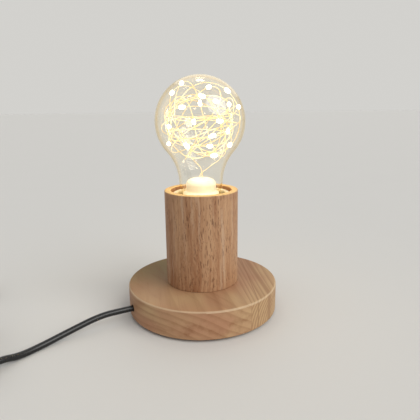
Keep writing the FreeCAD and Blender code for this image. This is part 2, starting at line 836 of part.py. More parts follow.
def make_contacts(level):
    """The sprung centre contact and the side contact that feeds the screw shell."""
    placement = FreeCAD.Placement(Vector(), level)
    floor = float(insert_floor)
    top = float(insert_foot) + 4.9
    tip = float(size.tip_height) - 0.3
    thick = 0.4
    centre = strip([
        (8.6, top), (8.6, floor + 0.3), (4.0, floor + 0.3), (1.6, tip - thick / 2), (-1.8, tip - thick / 2)
    ], thick, 4.0)
    node("centre_contact", fixed("centre_contact", centre, placement))
    shell_radius = float(size.shell_mean)
    side = strip([
        (-8.6, top), (-8.6, floor + 0.3),
        (0.2 - shell_radius, floor + 0.3), (0.2 - shell_radius, float(shell_foot)),
    ], thick, 4.0)
    node("side_contact", fixed("side_contact", side, placement))


def strip(points, thick, width):
    """A strip of sheet metal that follows points in its own XZ plane, bent at each."""
    offsets = []
    for sign in (1, -1):
        row = []
        for i, (x, z) in enumerate(points):
            before = points[max(i - 1, 0)]
            after = points[min(i + 1, len(points) - 1)]
            into = unit(x - before[0], z - before[1]) if i else unit(after[0] - x, after[1] - z)
            out = unit(after[0] - x, after[1] - z) if i < len(points) - 1 else into
            normal = unit(-(into[1] + out[1]), into[0] + out[0])
            stretch = thick / 2 / (normal[0] * -into[1] + normal[1] * into[0])
            row.append(Vector(x + sign * normal[0] * stretch, -width / 2, z + sign * normal[1] * stretch))
        offsets.append(row)
    corners = offsets[0] + offsets[1][::-1]
    face = Part.Face(Part.makePolygon(corners + corners[:1]))
    return face.extrude(Vector(0, width, 0))


def unit(x, z):
    """A direction of length 1 in a plane."""
    length = math.hypot(x, z)
    return x / length, z / length


# ---- bulb ----

def globe_outline(body, name, inset):
    """The bulb's outline: globe, widening shoulder and neck, set in from the outside by a distance."""
    radius = size.globe_radius - inset
    neck = size.neck_radius - inset
    foot = size.neck_foot - inset
    drop = float(size.globe_height) - float(size.neck_height)
    shoulder = (float(neck) ** 2 + drop ** 2 - float(radius) ** 2) / (2 * (float(radius) - float(neck)))
    centre = Vector(0, float(size.globe_height), 0)
    bend = Vector(float(neck) + shoulder, float(size.neck_height), 0)
    meeting = centre + (bend - centre).normalize() * float(radius)
    top = Vector(0, float(size.globe_height) + float(radius), 0)
    neck_top = Vector(float(neck), float(size.neck_height), 0)
    neck_low = Vector(float(foot), float(glass_foot) + 6.0, 0)
    low = Vector(float(foot), float(glass_foot), 0)
    sketch = body.newObject("Sketcher::SketchObject", name)
    sketch.AttachmentSupport = (origin_plane(body, "XZ_Plane"), [""])
    sketch.MapMode = "FlatFace"
    circle = Part.Circle(centre, UP, float(radius))
    sketch.addGeometry(Part.ArcOfCircle(circle, angle_of(meeting - centre), math.pi / 2))
    widening = Part.Circle(bend, UP, shoulder)
    sketch.addGeometry(Part.ArcOfCircle(widening, angle_of(meeting - bend), math.pi))
    sketch.addGeometry(Part.LineSegment(neck_top, neck_low))
    sketch.addGeometry(Part.LineSegment(neck_low, low))
    sketch.addGeometry(Part.LineSegment(low, Vector(0, low.y, 0)))
    sketch.addGeometry(Part.LineSegment(Vector(0, low.y, 0), top))
    joints = ((1, 2, 2, 1), (2, 2, 3, 1), (3, 2, 4, 1), (4, 2, 5, 1), (5, 2, 0, 2))
    for one, one_end, other, other_end in joints:
        sketch.addConstraint(Sketcher.Constraint("Coincident", one, one_end, other, other_end))
    sketch.addConstraint(Sketcher.Constraint("PointOnObject", 0, 3, -2))
    sketch.addConstraint(Sketcher.Constraint("PointOnObject", 5, 1, -2))
    sketch.addConstraint(Sketcher.Constraint("PointOnObject", 5, 2, -2))
    sketch.addConstraint(Sketcher.Constraint("Horizontal", 4))
    sketch.addConstraint(Sketcher.Constraint("Tangent", 0, 1, 1, 1))
    sketch.addConstraint(Sketcher.Constraint("Vertical", 3))
    measures = (
        ("Radius", (0,), radius),
        ("DistanceY", (-1, 1, 0, 3), size.globe_height),
        ("DistanceX", (-1, 1, 2, 1), neck),
        ("DistanceY", (-1, 1, 2, 1), size.neck_height),
        ("DistanceY", (-1, 1, 1, 3), size.neck_height),
        ("DistanceX", (-1, 1, 3, 2), foot),
        ("DistanceY", (-1, 1, 3, 2), glass_foot),
        ("DistanceY", (-1, 1, 3, 1), glass_foot + 6.0),
    )
    for kind, places, dim in measures:
        index = sketch.addConstraint(Sketcher.Constraint(kind, *places, float(dim)))
        sketch.setExpression(f"Constraints[{index}]", dim.text)
    return sketch


def angle_of(way):
    """The angle of a direction in a sketch, from 0 to a full turn."""
    return math.atan2(way.y, way.x) % (2 * math.pi)


def make_glass():
    """The clear glass envelope, open at the foot of its neck."""
    body = doc.addObject("PartDesign::Body", "bulb_glass")
    outer = body.newObject("PartDesign::Revolution", "glass_outside")
    outer.Profile = globe_outline(body, "glass_outer_outline", Dim(0, "0"))
    outer.ReferenceAxis = (outer.Profile[0], ["V_Axis"])
    outer.Angle = 360
    doc.recompute()
    full = body.Shape.Volume
    inner = body.newObject("PartDesign::Groove", "glass_inside")
    inner.Profile = globe_outline(body, "glass_inner_outline", size.glass_thick)
    inner.ReferenceAxis = (inner.Profile[0], ["V_Axis"])
    inner.Angle = 360
    doc.recompute()
    print(f"bulb glass: {body.Shape.Volume:.0f} of {full:.0f} mm3 left after hollowing")
    node("bulb_glass", body)


def make_cap():
    """The bulb's threaded metal cap, its insulator and its tip contact."""
    mean = size.cap_mean
    sheet_thick = float(size.cap_sheet)
    skirt_height = float(cap_top) - float(cap_skirt)
    outside = thread_core(mean, cap_thread, cap_skirt)
    outside = outside.fuse(upright(size.skirt_radius, cap_skirt, skirt_height))
    inside_shape = thread_core(float(mean) - sheet_thick, float(cap_thread) - 1.0, float(cap_skirt) + 0.5)
    skirt_room = upright(size.neck_foot + size.snug, float(cap_skirt) + 0.4, skirt_height)
    inside_shape = inside_shape.fuse(skirt_room)
    node("bulb_cap_shell", fixed("bulb_cap_shell", outside.cut(inside_shape)))
    plug_radius = mean - size.thread_depth - size.cap_sheet - size.snug
    node("bulb_cap_insulator", turned(
        "bulb_cap_insulator",
        (2.0, size.tip_height + 1.2),
        (5.2, size.tip_height + 1.2),
        (plug_radius, cap_thread - 0.2),
        (plug_radius, cap_thread + 2.5),
        (plug_radius - 2.0, cap_thread + 2.5),
        (3.0, cap_cone + 1.4),
        (2.0, cap_cone + 1.4),
    ))
    node("bulb_contact", turned(
        "bulb_contact",
        (0, size.tip_height),
        (3.4, size.tip_height),
        (4.6, size.tip_height + 0.5),
        (4.6, size.tip_height + 0.9),
        (1.7, size.tip_height + 0.9),
        (1.7, cap_cone + 0.6),
        (0, cap_cone + 0.6),
    ))


def upright(radius, low, height):
    """A plain cylinder about the lamp's axis."""
    return Part.makeCylinder(float(radius), float(height), Vector(0, 0, float(low)))


def make_stopper():
    """The white stopper that closes the neck and that the wire of lights stands on."""
    plug = size.neck_foot - size.glass_thick - size.snug * 2
    top = size.stopper_top
    radius = size.stopper_radius
    node("bulb_stopper", turned(
        "bulb_stopper",
        (0, cap_top - 3.6),
        (plug, cap_top - 3.6),
        (plug, cap_top + 2.2),
        (radius, cap_top + 3.6),
        (radius, top - 4.2),
        (radius - 0.5, top - 2.8),
        (radius - 1.8, top - 1.5),
        (radius - 4.2, top - 0.5),
        (3.0, top),
        (0, top),
    ))


def make_driver():
    """The small mains driver in the cap: a board, a capacitor, a bridge and a resistor, and two leads."""
    foot = cap_thread + 4.0
    top = cap_top - 3.6
    board = box("driver_board", 16.0, 1.2, top - foot, x=-8.0, y=-0.6, z=foot)
    node("driver_board", board)
    node("driver_capacitor", capacitor(foot + 4.0))
    bridge = box("driver_bridge", 6.0, 2.4, 5.0, x=-6.5, y=-3.05, z=foot + 9.0)
    chip = box("driver_chip", 4.0, 1.6, 4.8, x=2.0, y=-2.25, z=foot + 3.0)
    coil = cylinder("driver_choke", 2.2, 6.0, x=4.0, y=-2.85, z=foot + 9.5)
    node("driver_parts", group("driver_parts", bridge, chip, coil))
    contact_top = float(cap_cone) + 0.6 + 0.3
    board_low = float(foot)
    centre = swept(rounded_path([
        Vector(0, -0.8, contact_top + 0.1), Vector(0, -0.8, contact_top + 2.2),
        Vector(1.5, -1.2, board_low - 1.0), Vector(1.5, -1.2, board_low + 2.0)
    ]), 0.45)
    rim = float(size.cap_mean) - float(size.thread_depth) - float(size.cap_sheet) - 1.2
    edge = swept(rounded_path([
        Vector(-rim, -1.2, board_low + 6.0), Vector(-rim, -1.2, board_low + 2.0),
        Vector(-5.0, -1.2, board_low - 1.0), Vector(-5.0, -1.2, board_low + 2.0)
    ]), 0.45)
    node("driver_leads", fixed("driver_leads", Part.makeCompound([centre, edge])))


def capacitor(low):
    """A standing capacitor beside the board, with a groove near its foot."""
    radius = 3.6
    can = cylinder("capacitor_can", radius, 9.5, x=0.0, y=0.7 + radius, z=low)
    groove = doc.addObject("Part::Torus", "capacitor_groove")
    groove.Radius1 = radius + 0.4
    groove.Radius2 = 0.7
    place(groove, x=0.0, y=0.7 + radius, z=low + 1.6)
    return cut("driver_capacitor", can, groove)


# ---- wire of small lights ----

def loop_point(turns):
    """A point on the wound wire after so many turns: loops that grow and change their tilt as they go."""
    reach = float(size.wire_inner) + (float(size.wire_outer) - float(size.wire_inner)) * turns / LOOP_TURNS
    bearing = math.radians(-67.2 * turns + 38.9 * math.sin(1.366 * turns + 1.725))
    tilt = math.radians(55.5 + 21.6 * math.sin(0.544 * turns + 3.44))
    slide = math.radians(23.8 * math.sin(0.514 * turns + 3.146))
    first = heading(math.degrees(bearing))
    normal = heading(math.degrees(bearing) - 90) * math.sin(tilt) + UP * math.cos(tilt)
    second = normal.cross(first)
    phase = 2 * math.pi * turns
    ring = first * math.cos(phase) + second * math.sin(phase)
    centre = Vector(0, 0, float(size.globe_height))
    return centre + (normal * math.sin(slide) + ring * math.cos(slide)) * reach


def loop_knots():
    """The wire's knots: up from the stopper, round the loops by quarter turns, and back down."""
    foot = float(size.stopper_top)
    knots = [
        (Vector(-0.9, 0, foot), UP),
        (Vector(-0.9, 0, foot + 0.6), UP),
        (Vector(2.6, -0.9, foot + 9.0), Vector(0.42, -0.1, 0.9).normalize()),
        (Vector(1.5, -0.3, foot + 26.0), Vector(-0.3, 0.1, 0.95).normalize()),
    ]
    step = 0.01
    for quarter in range(-1, 4 * LOOP_TURNS):
        turns = quarter / 4
        ahead = loop_point(turns + step) - loop_point(turns - step)
        knots.append((loop_point(turns), ahead.normalize()))
    knots.append((Vector(5.2, 0.9, foot + 8.0), Vector(-0.5, -0.1, -0.86).normalize()))
    knots.append((Vector(0.9, 0, foot + 0.6), -UP))
    knots.append((Vector(0.9, 0, foot), -UP))
    return knots


def make_lights():
    """The wire of small lights as one unbroken tube, and its lights at even steps along it."""
    knots = loop_knots()
    edges = [Part.LineSegment(knots[0][0], knots[1][0]).toShape()]
    edges += wound_path(knots[1:-1])
    edges.append(Part.LineSegment(knots[-2][0], knots[-1][0]).toShape())
    least_gap(edges, size.wire_radius, "wire of lights")
    node("fairy_wire", fixed("fairy_wire", swept(edges, size.wire_radius)))
    node("fairy_lights", fixed("fairy_lights", Part.makeCompound(light_beads(edges))))


def light_beads(edges):
    """Clear beads with rounded ends, threaded on the wire at even steps."""
    total = sum(edge.Length for edge in edges)
    first = 70.0
    step = (total - 2 * first) / (LIGHT_COUNT - 1)
    beads = []
    for index in range(LIGHT_COUNT):
        distance = first + step * index
        for edge in edges:
            if distance <= edge.Length:
                break
            distance -= edge.Length
        at = edge.getParameterByLength(distance)
        middle = edge.valueAt(at)
        way = edge.tangentAt(at)
        radius = 0.95
        length = 1.4
        bead = Part.makeCylinder(radius, length, middle - way * (length / 2), way)
        bead = bead.makeFillet(0.45, bead.Edges[0:1] + bead.Edges[2:3])
        beads.append(bead)
    return beads


# ---- cord, switch and plug ----

def cord_tube(name, points):
    """A free stretch of the cord through points chosen by hand."""
    edges = rounded_path([Vector(*point) for point in points], name)
    node(name, fixed(name, swept(edges, size.cord_radius)))


def switch_point(distance, side, height):
    """A point in the switch's own directions, from the middle of its first end."""
    along = heading(SWITCH_HEADING)
    across = heading(SWITCH_HEADING + 90)
    spot = Vector(*SWITCH_START, float(height))
    return spot + along * float(distance) + across * float(side)


SWITCH_CORD_HEIGHT = 5.0


def make_lamp_cord():
    """The visible stretch, from the drilled hole down to the table and out to the switch."""
    mouth = inside(size.base_radius, 0, cord_axis)
    out = heading(float(size.cord_bearing))
    entry = switch_point(0, 0, SWITCH_CORD_HEIGHT)
    rest = float(size.cord_radius)
    cord_tube("cord_to_switch", [
        tuple(mouth),
        tuple(mouth + out * 8.0),
        (-66.5, -31.6, 8.9),
        (-82.0, -41.8, 5.0),
        (-96.0, -53.6, rest),
        (-105.6, -65.0, rest),
        tuple(entry - heading(SWITCH_HEADING) * 7.0),
        tuple(entry),
    ])


def make_switch():
    """The cord switch: two housing halves, rocker on a pin, contacts and screws."""
    level = Rotation(UP, SWITCH_HEADING)
    placement = FreeCAD.Placement(Vector(*SWITCH_START, 0), level)
    half = size.switch_width * 0.5
    length = size.switch_length
    nose = 5.0
    outline = (
        (0, -5.0), (nose, -half), (length - nose, -half), (length, -5.0),
        (length, 5.0), (length - nose, half), (nose, half), (0, 5.0),
    )
    bottom = padded("switch_bottom", size.switch_split, *outline)
    rounded(bottom, 1.5, lambda edge: edge_level(edge, 0.0))
    cover = padded("switch_cover_pad", size.switch_height, *outline)
    rounded(cover, 2.5, lambda edge: edge_level(edge, float(size.switch_height)))
    wall = 1.8
    middle = float(length) / 2
    pivot = 9.6
    across = Rotation(UP, Vector(0, -1, 0))
    room = (length - 14.0, size.switch_width - 2 * wall)
    cavity = box("switch_cavity", *room, 9.0, x=7.0, y=wall - half, z=wall)
    lower_well = box("switch_well", *room, 20.0, x=7.0, y=wall - half, z=wall)
    window = box("switch_window", 18.4, 11.0, 10.0, x=middle - 9.2, y=-5.5, z=10.0)
    pin_hole = cylinder("switch_pin_hole", 1.05, 15.8, x=middle, y=7.9, z=pivot, rotation=across)
    lower_cut = box("switch_lower_cut", 80.0, 60.0, size.switch_split, x=-10.0, y=-30.0, z=0.0)
    cheeks = [
        box(f"switch_cheek_{i}", 7.0, 2.9, 5.0, x=middle - 3.5, y=side, z=size.switch_split)
        for i, side in enumerate((5.6, -8.5))
    ]
    ways = []
    screws = []
    for i, (x, y) in enumerate(((4.8, 5.4), (float(length) - 4.8, -5.4))):
        ways.append(cylinder(f"switch_screw_way_{i}", 1.05, 11.0, x=x, y=y, z=-1.0))
        ways.append(cylinder(f"switch_screw_seat_{i}", 2.0, 3.0, x=x, y=y, z=-1.0))
        shank = cylinder(f"switch_screw_shank_{i}", 1.0, 7.7, x=x, y=y, z=2.0)
        head = cylinder(f"switch_screw_head_{i}", 1.8, 1.3, x=x, y=y, z=0.7)
        slot = box(f"switch_screw_slot_{i}", 4.0, 0.5, 0.9, x=x - 2.0, y=y - 0.25, z=0.3)
        screws.append(cut(f"switch_screw_{i}", join(f"switch_screw_blank_{i}", shank, head), slot))
    base_half = cut("switch_base", bottom, join("switch_base_tools", lower_well, *ways))
    hollow = cut("switch_cover_hollow", cover, lower_cut, cavity, window)
    cheeked = join("switch_cover_cheeked", hollow, *cheeks)
    cover_half = cut("switch_cover", cheeked, join("switch_cover_holes", pin_hole, *ways))
    node("switch_base", placed(base_half, placement))
    node("switch_cover", placed(cover_half, placement))
    node("switch_screws", placed(group("switch_screw_set", *screws), placement))
    pin = cylinder("switch_pin_rod", 1.0, 15.4, x=middle, y=7.7, z=pivot, rotation=across)
    node("switch_pin", placed(group("switch_pin_set", pin), placement))
    node("switch_rocker", placed(rocker_solid(middle, pivot), placement))
    strips = []
    for i, (sign, height) in enumerate(((1, 4.4), (-1, 4.4))):
        foot = box(f"switch_strip_foot_{i}", 10.0, 5.0, 0.5, x=middle + sign * 9.0 - 5.0, y=-2.5, z=wall)
        riser = box(f"switch_strip_riser_{i}", 0.5, 5.0, height - 1.8,
                    x=middle + sign * 13.75 - 0.25, y=-2.5, z=wall)
        strips.append(join(f"switch_strip_{i}", foot, riser))
    node("switch_contacts", placed(group("switch_contact_set", *strips), placement))


def placed(item, placement):
    """Stand a finished solid in its own place on the table."""
    item.Placement = placement.multiply(item.Placement)
    return item


def edge_level(edge, height):
    """Whether an edge lies level at a height."""
    return all(abs(vertex.Point.z - height) < 0.01 for vertex in edge.Vertexes)


def rocker_solid(middle, pivot):
    """The rocker: a shallow V on a round hub, tilted to its rest position about the pin."""
    tilt = float(size.rocker_tilt)
    half = 8.2
    top = 5.4
    upper = [(-half, top), (0, top - 1.3), (half, top)]
    profile = upper + [(half, 2.2), (3.0, -2.4), (-3.0, -2.4), (-half, 2.2)]
    corners = [Vector(x, -5.0, z) for x, z in profile]
    face = Part.Face(Part.makePolygon(corners + corners[:1]))
    solid = face.extrude(Vector(0, 10.0, 0))
    bore = Part.makeCylinder(1.05, 12.0, Vector(0, -6.0, 0), Vector(0, 1, 0))
    solid = solid.cut(bore)
    solid.rotate(Vector(), Vector(0, 1, 0), tilt)
    solid.translate(Vector(middle, 0, pivot))
    return fixed("switch_rocker_shape", solid)


def coil_point(turns):
    """A point of the coil's centre line after so many turns, clockwise and from its top layer down."""
    pitch = float(size.coil_pitch)
    layer = turns / LAYER_TURNS
    part = layer - 2 * math.floor(layer / 2)
    inwards = part if part <= 1 else 2 - part
    radius = float(size.coil_inner) + pitch * LAYER_TURNS * (1 - inwards)
    height = float(size.coil_lift) + float(size.cord_radius) + pitch * (LAYERS - 1)
    for reversal in range(1, LAYERS):
        share = (turns - reversal * LAYER_TURNS) * 2 + 0.5
        share = min(max(share, 0.0), 1.0)
        height -= pitch * (3 * share ** 2 - 2 * share ** 3)
    angle = math.pi - 2 * math.pi * turns
    return Vector(*COIL_CENTRE, height) + Vector(math.cos(angle), math.sin(angle), 0) * radius


def make_coil():
    """The put-away length as one coil in layers, unbroken, with straight ends."""
    count = round(LAYER_TURNS * LAYERS * 4)
    step = 0.01
    knots = []
    for index in range(count + 1):
        turns = LAYER_TURNS * LAYERS * index / count
        ahead = coil_point(turns + step) - coil_point(turns - step)
        knots.append((coil_point(turns), ahead.normalize()))
    end = 2 * float(size.cord_radius)
    first, first_way = knots[0]
    last, last_way = knots[-1]
    edges = [Part.LineSegment(first - first_way * end, first).toShape()]
    edges += wound_path(knots)
    edges.append(Part.LineSegment(last, last + last_way * end).toShape())
    least_gap(edges, size.cord_radius, "cord coil")
    node("cord_coil", fixed("cord_coil", swept(edges, size.cord_radius)))
    make_tie()
    return (first - first_way * end, first_way), (last + last_way * end, last_way)


def make_tie():
    """The tie: a flat band round the bundle of turns, on its far right side."""
    inner = float(size.coil_inner) - float(size.cord_radius) - 0.9
    outer = float(size.coil_inner) + float(size.coil_pitch) * LAYER_TURNS + float(size.cord_radius) + 0.3
    thick = float(size.tie_thick)
    width = float(size.tie_width)
    top = float(size.coil_lift) + 2 * float(size.cord_radius) + float(size.coil_pitch) * (LAYERS - 1) + 0.3
    band = Part.makeBox(outer - inner + 2 * thick, width, top + thick, Vector(inner - thick, -width / 2, 0))
    hollow = Part.makeBox(outer - inner, width + 2, top - thick, Vector(inner, -width / 2 - 1, thick))
    band = band.makeFillet(1.2, [e for e in band.Edges if abs(e.tangentAt(0).y) > 0.9])
    placement = FreeCAD.Placement(Vector(*COIL_CENTRE, 0), Rotation(UP, 60))
    node("cord_tie", fixed("cord_tie", band.cut(hollow), placement))


def turn_corners(centre, radius, first, last, count, heights):
    """The corners of a route that goes round an arc about a centre, from one bearing to another."""
    span = (last - first) / count
    reach = radius / math.cos(math.radians(span / 2))
    corners = []
    for index, height in enumerate(heights):
        spot = centre + heading(first + (index + 0.5) * span) * reach
        corners.append((spot.x, spot.y, height))
    return corners


def make_far_cord(coil_start, coil_end):
    """The stretches from the switch to the coil and from the coil to the plug."""
    exit_point = switch_point(size.switch_length, 0, SWITCH_CORD_HEIGHT)
    along = heading(SWITCH_HEADING)
    start, start_way = coil_start
    begin = exit_point + along * 2.5
    radius = (begin.x - start.x) / (1 + math.sin(math.radians(SWITCH_HEADING - 180)))
    centre = begin + heading(SWITCH_HEADING - 90) * radius
    heights = (exit_point.z, 5.2, 7.2, 10.2)
    cord_tube("cord_to_coil", [
        tuple(exit_point),
        *turn_corners(centre, radius, SWITCH_HEADING - 270, -180, len(heights), heights),
        (start.x - 0.4, start.y - 27.0, 14.3),
        (start.x, start.y - 12.0, start.z),
        tuple(start),
    ])
    end, end_way = coil_end
    entry = Vector(*PLUG_START, float(size.plug_height) / 2)
    cord_tube("cord_to_plug", [
        tuple(end),
        tuple(end + end_way * 5.5),
        tuple(entry - Vector(0, 6.0, 0)),
        tuple(entry),
    ])


def make_plug():
    """The flat two-pin plug with its tapered, ribbed strain relief."""
    placement = FreeCAD.Placement(Vector(*PLUG_START, 0), Rotation())
    relief_length = size.relief_length
    depth = size.plug_depth
    half = size.plug_width * 0.5
    outline = (
        (-7.0, relief_length), (7.0, relief_length), (half, relief_length + depth * 0.55),
        (half, relief_length + depth), (-half, relief_length + depth), (-half, relief_length + depth * 0.55),
    )
    body = padded("plug_body_pad", size.plug_height, *outline)
    rounded(body, 4.5, upright_edge)
    rounded(body, 3.0, lambda edge: edge_level(edge, 0.0) or edge_level(edge, float(size.plug_height)))
    face = relief_length + depth
    level = Rotation(UP, Vector(0, 1, 0))
    pins, collars, sockets = [], [], []
    for i, side in enumerate((-1, 1)):
        spot = {"x": size.pin_spacing * (side * 0.5), "z": size.plug_height * 0.5, "rotation": level}
        root_length = size.collar_length + 6.0
        collars.append(cylinder(f"plug_collar_{i}", size.collar_radius, root_length, y=face - 6.0, **spot))
        bore_length = root_length + 1.0
        sockets.append(cylinder(f"plug_pin_socket_{i}", size.root_radius, bore_length, y=face - 6.0, **spot))
        root = cylinder(f"plug_pin_root_{i}", size.root_radius, bore_length, y=face - 6.0, **spot)
        shank_length = size.pin_length - size.collar_length - 1.0
        foot = face + size.collar_length
        shank = cylinder(f"plug_pin_shank_{i}", size.pin_radius, shank_length, y=foot, **spot)
        end = face + size.pin_length - 1.0
        tip = cone(f"plug_pin_tip_{i}", size.pin_radius, size.pin_radius - 0.8, 1.0, y=end, **spot)
        pins.append(join(f"plug_pin_{i}", root, shank, tip))
    bored = cut("plug_body_bored", join("plug_body_collared", body, *collars), *sockets)
    node("plug_body", placed(bored, placement))
    node("plug_pins", placed(group("plug_pin_set", *pins), placement))
    lying = FreeCAD.Placement(Vector(*PLUG_START, float(size.plug_height) / 2), Rotation(UP, Vector(0, 1, 0)))
    node("plug_relief", placed(relief_solid(), lying))


def upright_edge(edge):
    """Whether an edge stands straight up."""
    low, high = (vertex.Point for vertex in edge.Vertexes[:2])
    return math.hypot(high.x - low.x, high.y - low.y) < 0.01


def relief_solid():
    """A tapered sleeve from the cord to the plug, with narrow ribs between grooves."""
    length = float(size.relief_length)
    thin = float(size.cord_radius) + 0.7
    wide = 5.0
    ribs = 5
    outline = [(0.0, 0.0), (thin, 0.0)]
    pitch = (length - 6.0) / ribs
    for i in range(ribs):
        low = 3.0 + i * pitch
        radius = thin + (wide - thin) * (low + pitch / 2) / length
        outline += [(radius, low), (radius, low + pitch * 0.55)]
        outline += [(radius - 1.0, low + pitch * 0.6), (radius - 1.0, low + pitch * 0.95)]
    outline += [(wide, length - 2.5), (wide, length), (0.0, length)]
    return turned("plug_relief_turning", *outline)


def check_and_export():
    """Stop if any object failed, then write each sub-part to its own file."""
    doc.recompute()
    for item in doc.Objects:
        if {"Invalid", "Error"} & set(item.State):
            raise ValueError(f"{item.Name} failed: {item.State}")
    os.makedirs("parts", exist_ok=True)
    for item in nodes:
        shape = item.Shape
        if shape.isNull() or not shape.isValid() or not shape.Solids:
            raise ValueError(f"{item.Label} has no valid solid")
        shape.exportStep(f"parts/{item.Label}.step")
        print(f"{item.Label}: {len(shape.Solids)} solid(s), {shape.Volume:.1f} mm3")
    print(f"{len(nodes)} sub-parts")


def main():
    """Build every sub-part and export it."""
    make_base()
    make_column()
    make_column_screws()
    make_tube()
    make_inner_cord()
    make_holder()
    make_glass()
    make_cap()
    make_stopper()
    make_driver()
    make_lights()
    make_lamp_cord()
    make_switch()
    coil_start, coil_end = make_coil()
    make_far_cord(coil_start, coil_end)
    make_plug()
    check_and_export()


main()
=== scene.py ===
"""The looks of a bare bulb table lamp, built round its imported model: metres, +Z up, on a table.

Each sub-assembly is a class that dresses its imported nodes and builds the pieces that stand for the
soft ones: the cord with its coil, the wire of small lights and the lights on it.
"""

from __future__ import annotations

import json
import logging
import math
from collections.abc import Iterable, Sequence
from dataclasses import dataclass
from enum import Enum
from typing import Protocol

import bmesh
import bpy
from bpy.types import ID, Material, Node, NodeSocket, NodeTree, Object
from mathutils import Matrix, Vector

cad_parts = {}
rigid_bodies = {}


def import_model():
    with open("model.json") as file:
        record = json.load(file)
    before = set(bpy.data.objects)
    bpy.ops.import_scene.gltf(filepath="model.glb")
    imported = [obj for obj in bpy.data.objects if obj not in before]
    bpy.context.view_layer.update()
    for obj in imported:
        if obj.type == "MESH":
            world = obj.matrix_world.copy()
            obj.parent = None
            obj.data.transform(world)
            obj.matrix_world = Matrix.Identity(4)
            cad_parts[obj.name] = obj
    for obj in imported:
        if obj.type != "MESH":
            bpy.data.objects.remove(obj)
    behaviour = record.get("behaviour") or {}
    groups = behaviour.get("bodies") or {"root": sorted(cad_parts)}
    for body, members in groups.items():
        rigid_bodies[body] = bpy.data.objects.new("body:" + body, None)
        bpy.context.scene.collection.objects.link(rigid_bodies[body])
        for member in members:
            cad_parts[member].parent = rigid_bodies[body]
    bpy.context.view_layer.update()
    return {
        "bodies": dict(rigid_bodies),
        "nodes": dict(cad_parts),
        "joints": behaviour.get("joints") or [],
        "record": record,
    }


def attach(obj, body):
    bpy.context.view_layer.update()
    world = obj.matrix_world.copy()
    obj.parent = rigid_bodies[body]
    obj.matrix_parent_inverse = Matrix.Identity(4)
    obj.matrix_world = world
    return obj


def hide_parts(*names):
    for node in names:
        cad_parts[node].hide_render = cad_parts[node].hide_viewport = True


LOG = logging.getLogger("table_lamp")
MM = 0.001
Colour = tuple[float, float, float, float]
Triple = tuple[float, float, float]
Pair = tuple[float, float]

ORIGIN: Triple = (0.0, 0.0, 0.0)
PER_MM: Triple = (1000.0, 1000.0, 1000.0)
RISE: Pair = (0.0, 1.0)
FALL: Pair = (1.0, 0.0)
# Where a mix node keeps its colours and their mixture, after the sockets of its other data types.
MIX_FIRST, MIX_SECOND, MIX_RESULT = 6, 7, 2


class Body(Enum):
    """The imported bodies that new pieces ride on."""

    LAMP = "lamp"
    BULB = "bulb"


class Sum(Enum):
    """What a math node works out."""

    ADD = "ADD"
    SUBTRACT = "SUBTRACT"
    MULTIPLY = "MULTIPLY"
    DIVIDE = "DIVIDE"
    POWER = "POWER"
    ROOT = "SQRT"
    SIZE = "ABSOLUTE"
    FRACTION = "FRACT"
    LARGER = "MAXIMUM"
    SMALLER = "MINIMUM"


def linear(*screen: float) -> Colour:
    """Turn a colour as it looks on a screen into the renderer's own values.

    Args:
        *screen: Red, green and blue, 0 to 1.

    Returns:
        The linear colour with full alpha.
    """
    return (*(c / 12.92 if c <= 0.04045 else ((c + 0.055) / 1.055) ** 2.4 for c in screen), 1.0)


def shade(colour: Colour, factor: float, lift: float = 0.0) -> Colour:
    """Make a colour darker or lighter.

    Args:
        colour: The colour.
        factor: What its values are multiplied by.
        lift: What is added to them.

    Returns:
        The new colour, with full alpha.
    """
    return (*(min(1.0, c * factor + lift) for c in colour[:3]), 1.0)


def heading(degrees: float) -> Vector:
    """Return the level unit vector at a bearing."""
    return Vector((math.cos(math.radians(degrees)), math.sin(math.radians(degrees)), 0.0))


@dataclass(frozen=True)
class Grain:
    """How a noise is drawn out: steps per unit along the axes, offset, octaves and roughness."""

    steps: Triple
    shift: Triple = ORIGIN
    detail: float = 3.0
    rough: float = 0.55


class Signal:
    """A number, colour or vector that a node gives, with arithmetic that adds further nodes."""

    def __init__(self, tree: Tree, socket: NodeSocket) -> None:
        """Keep the node tree and the output."""
        self.tree = tree
        self.socket = socket

    def __add__(self, other: Signal | float) -> Signal:
        """Return the sum."""
        return self.tree.math(Sum.ADD, self, other)

    def __sub__(self, other: Signal | float) -> Signal:
        """Return the difference."""
        return self.tree.math(Sum.SUBTRACT, self, other)

    def __rsub__(self, other: float) -> Signal:
        """Return a plain number less this signal."""
        return self.tree.math(Sum.SUBTRACT, other, self)

    def __mul__(self, other: Signal | float) -> Signal:
        """Return the product."""
        return self.tree.math(Sum.MULTIPLY, self, other)

    def __abs__(self) -> Signal:
        """Return the size without the sign."""
        return self.tree.math(Sum.SIZE, self)

    def larger(self, other: Signal | float) -> Signal:
        """Return the larger of two."""
        return self.tree.math(Sum.LARGER, self, other)

    def within(self, low: float, high: float, to: Pair = RISE) -> Signal:
        """Map a range smoothly onto another.

        Args:
            low: The start of the range.
            high: The end of the range.
            to: What the start and the end become.

        Returns:
            The mapped signal.
        """
        kind = "ShaderNodeMapRange"
        node = self.tree.add(kind, self, low, high, *to, interpolation_type="SMOOTHSTEP")
        return self.tree.out(node, "Result")


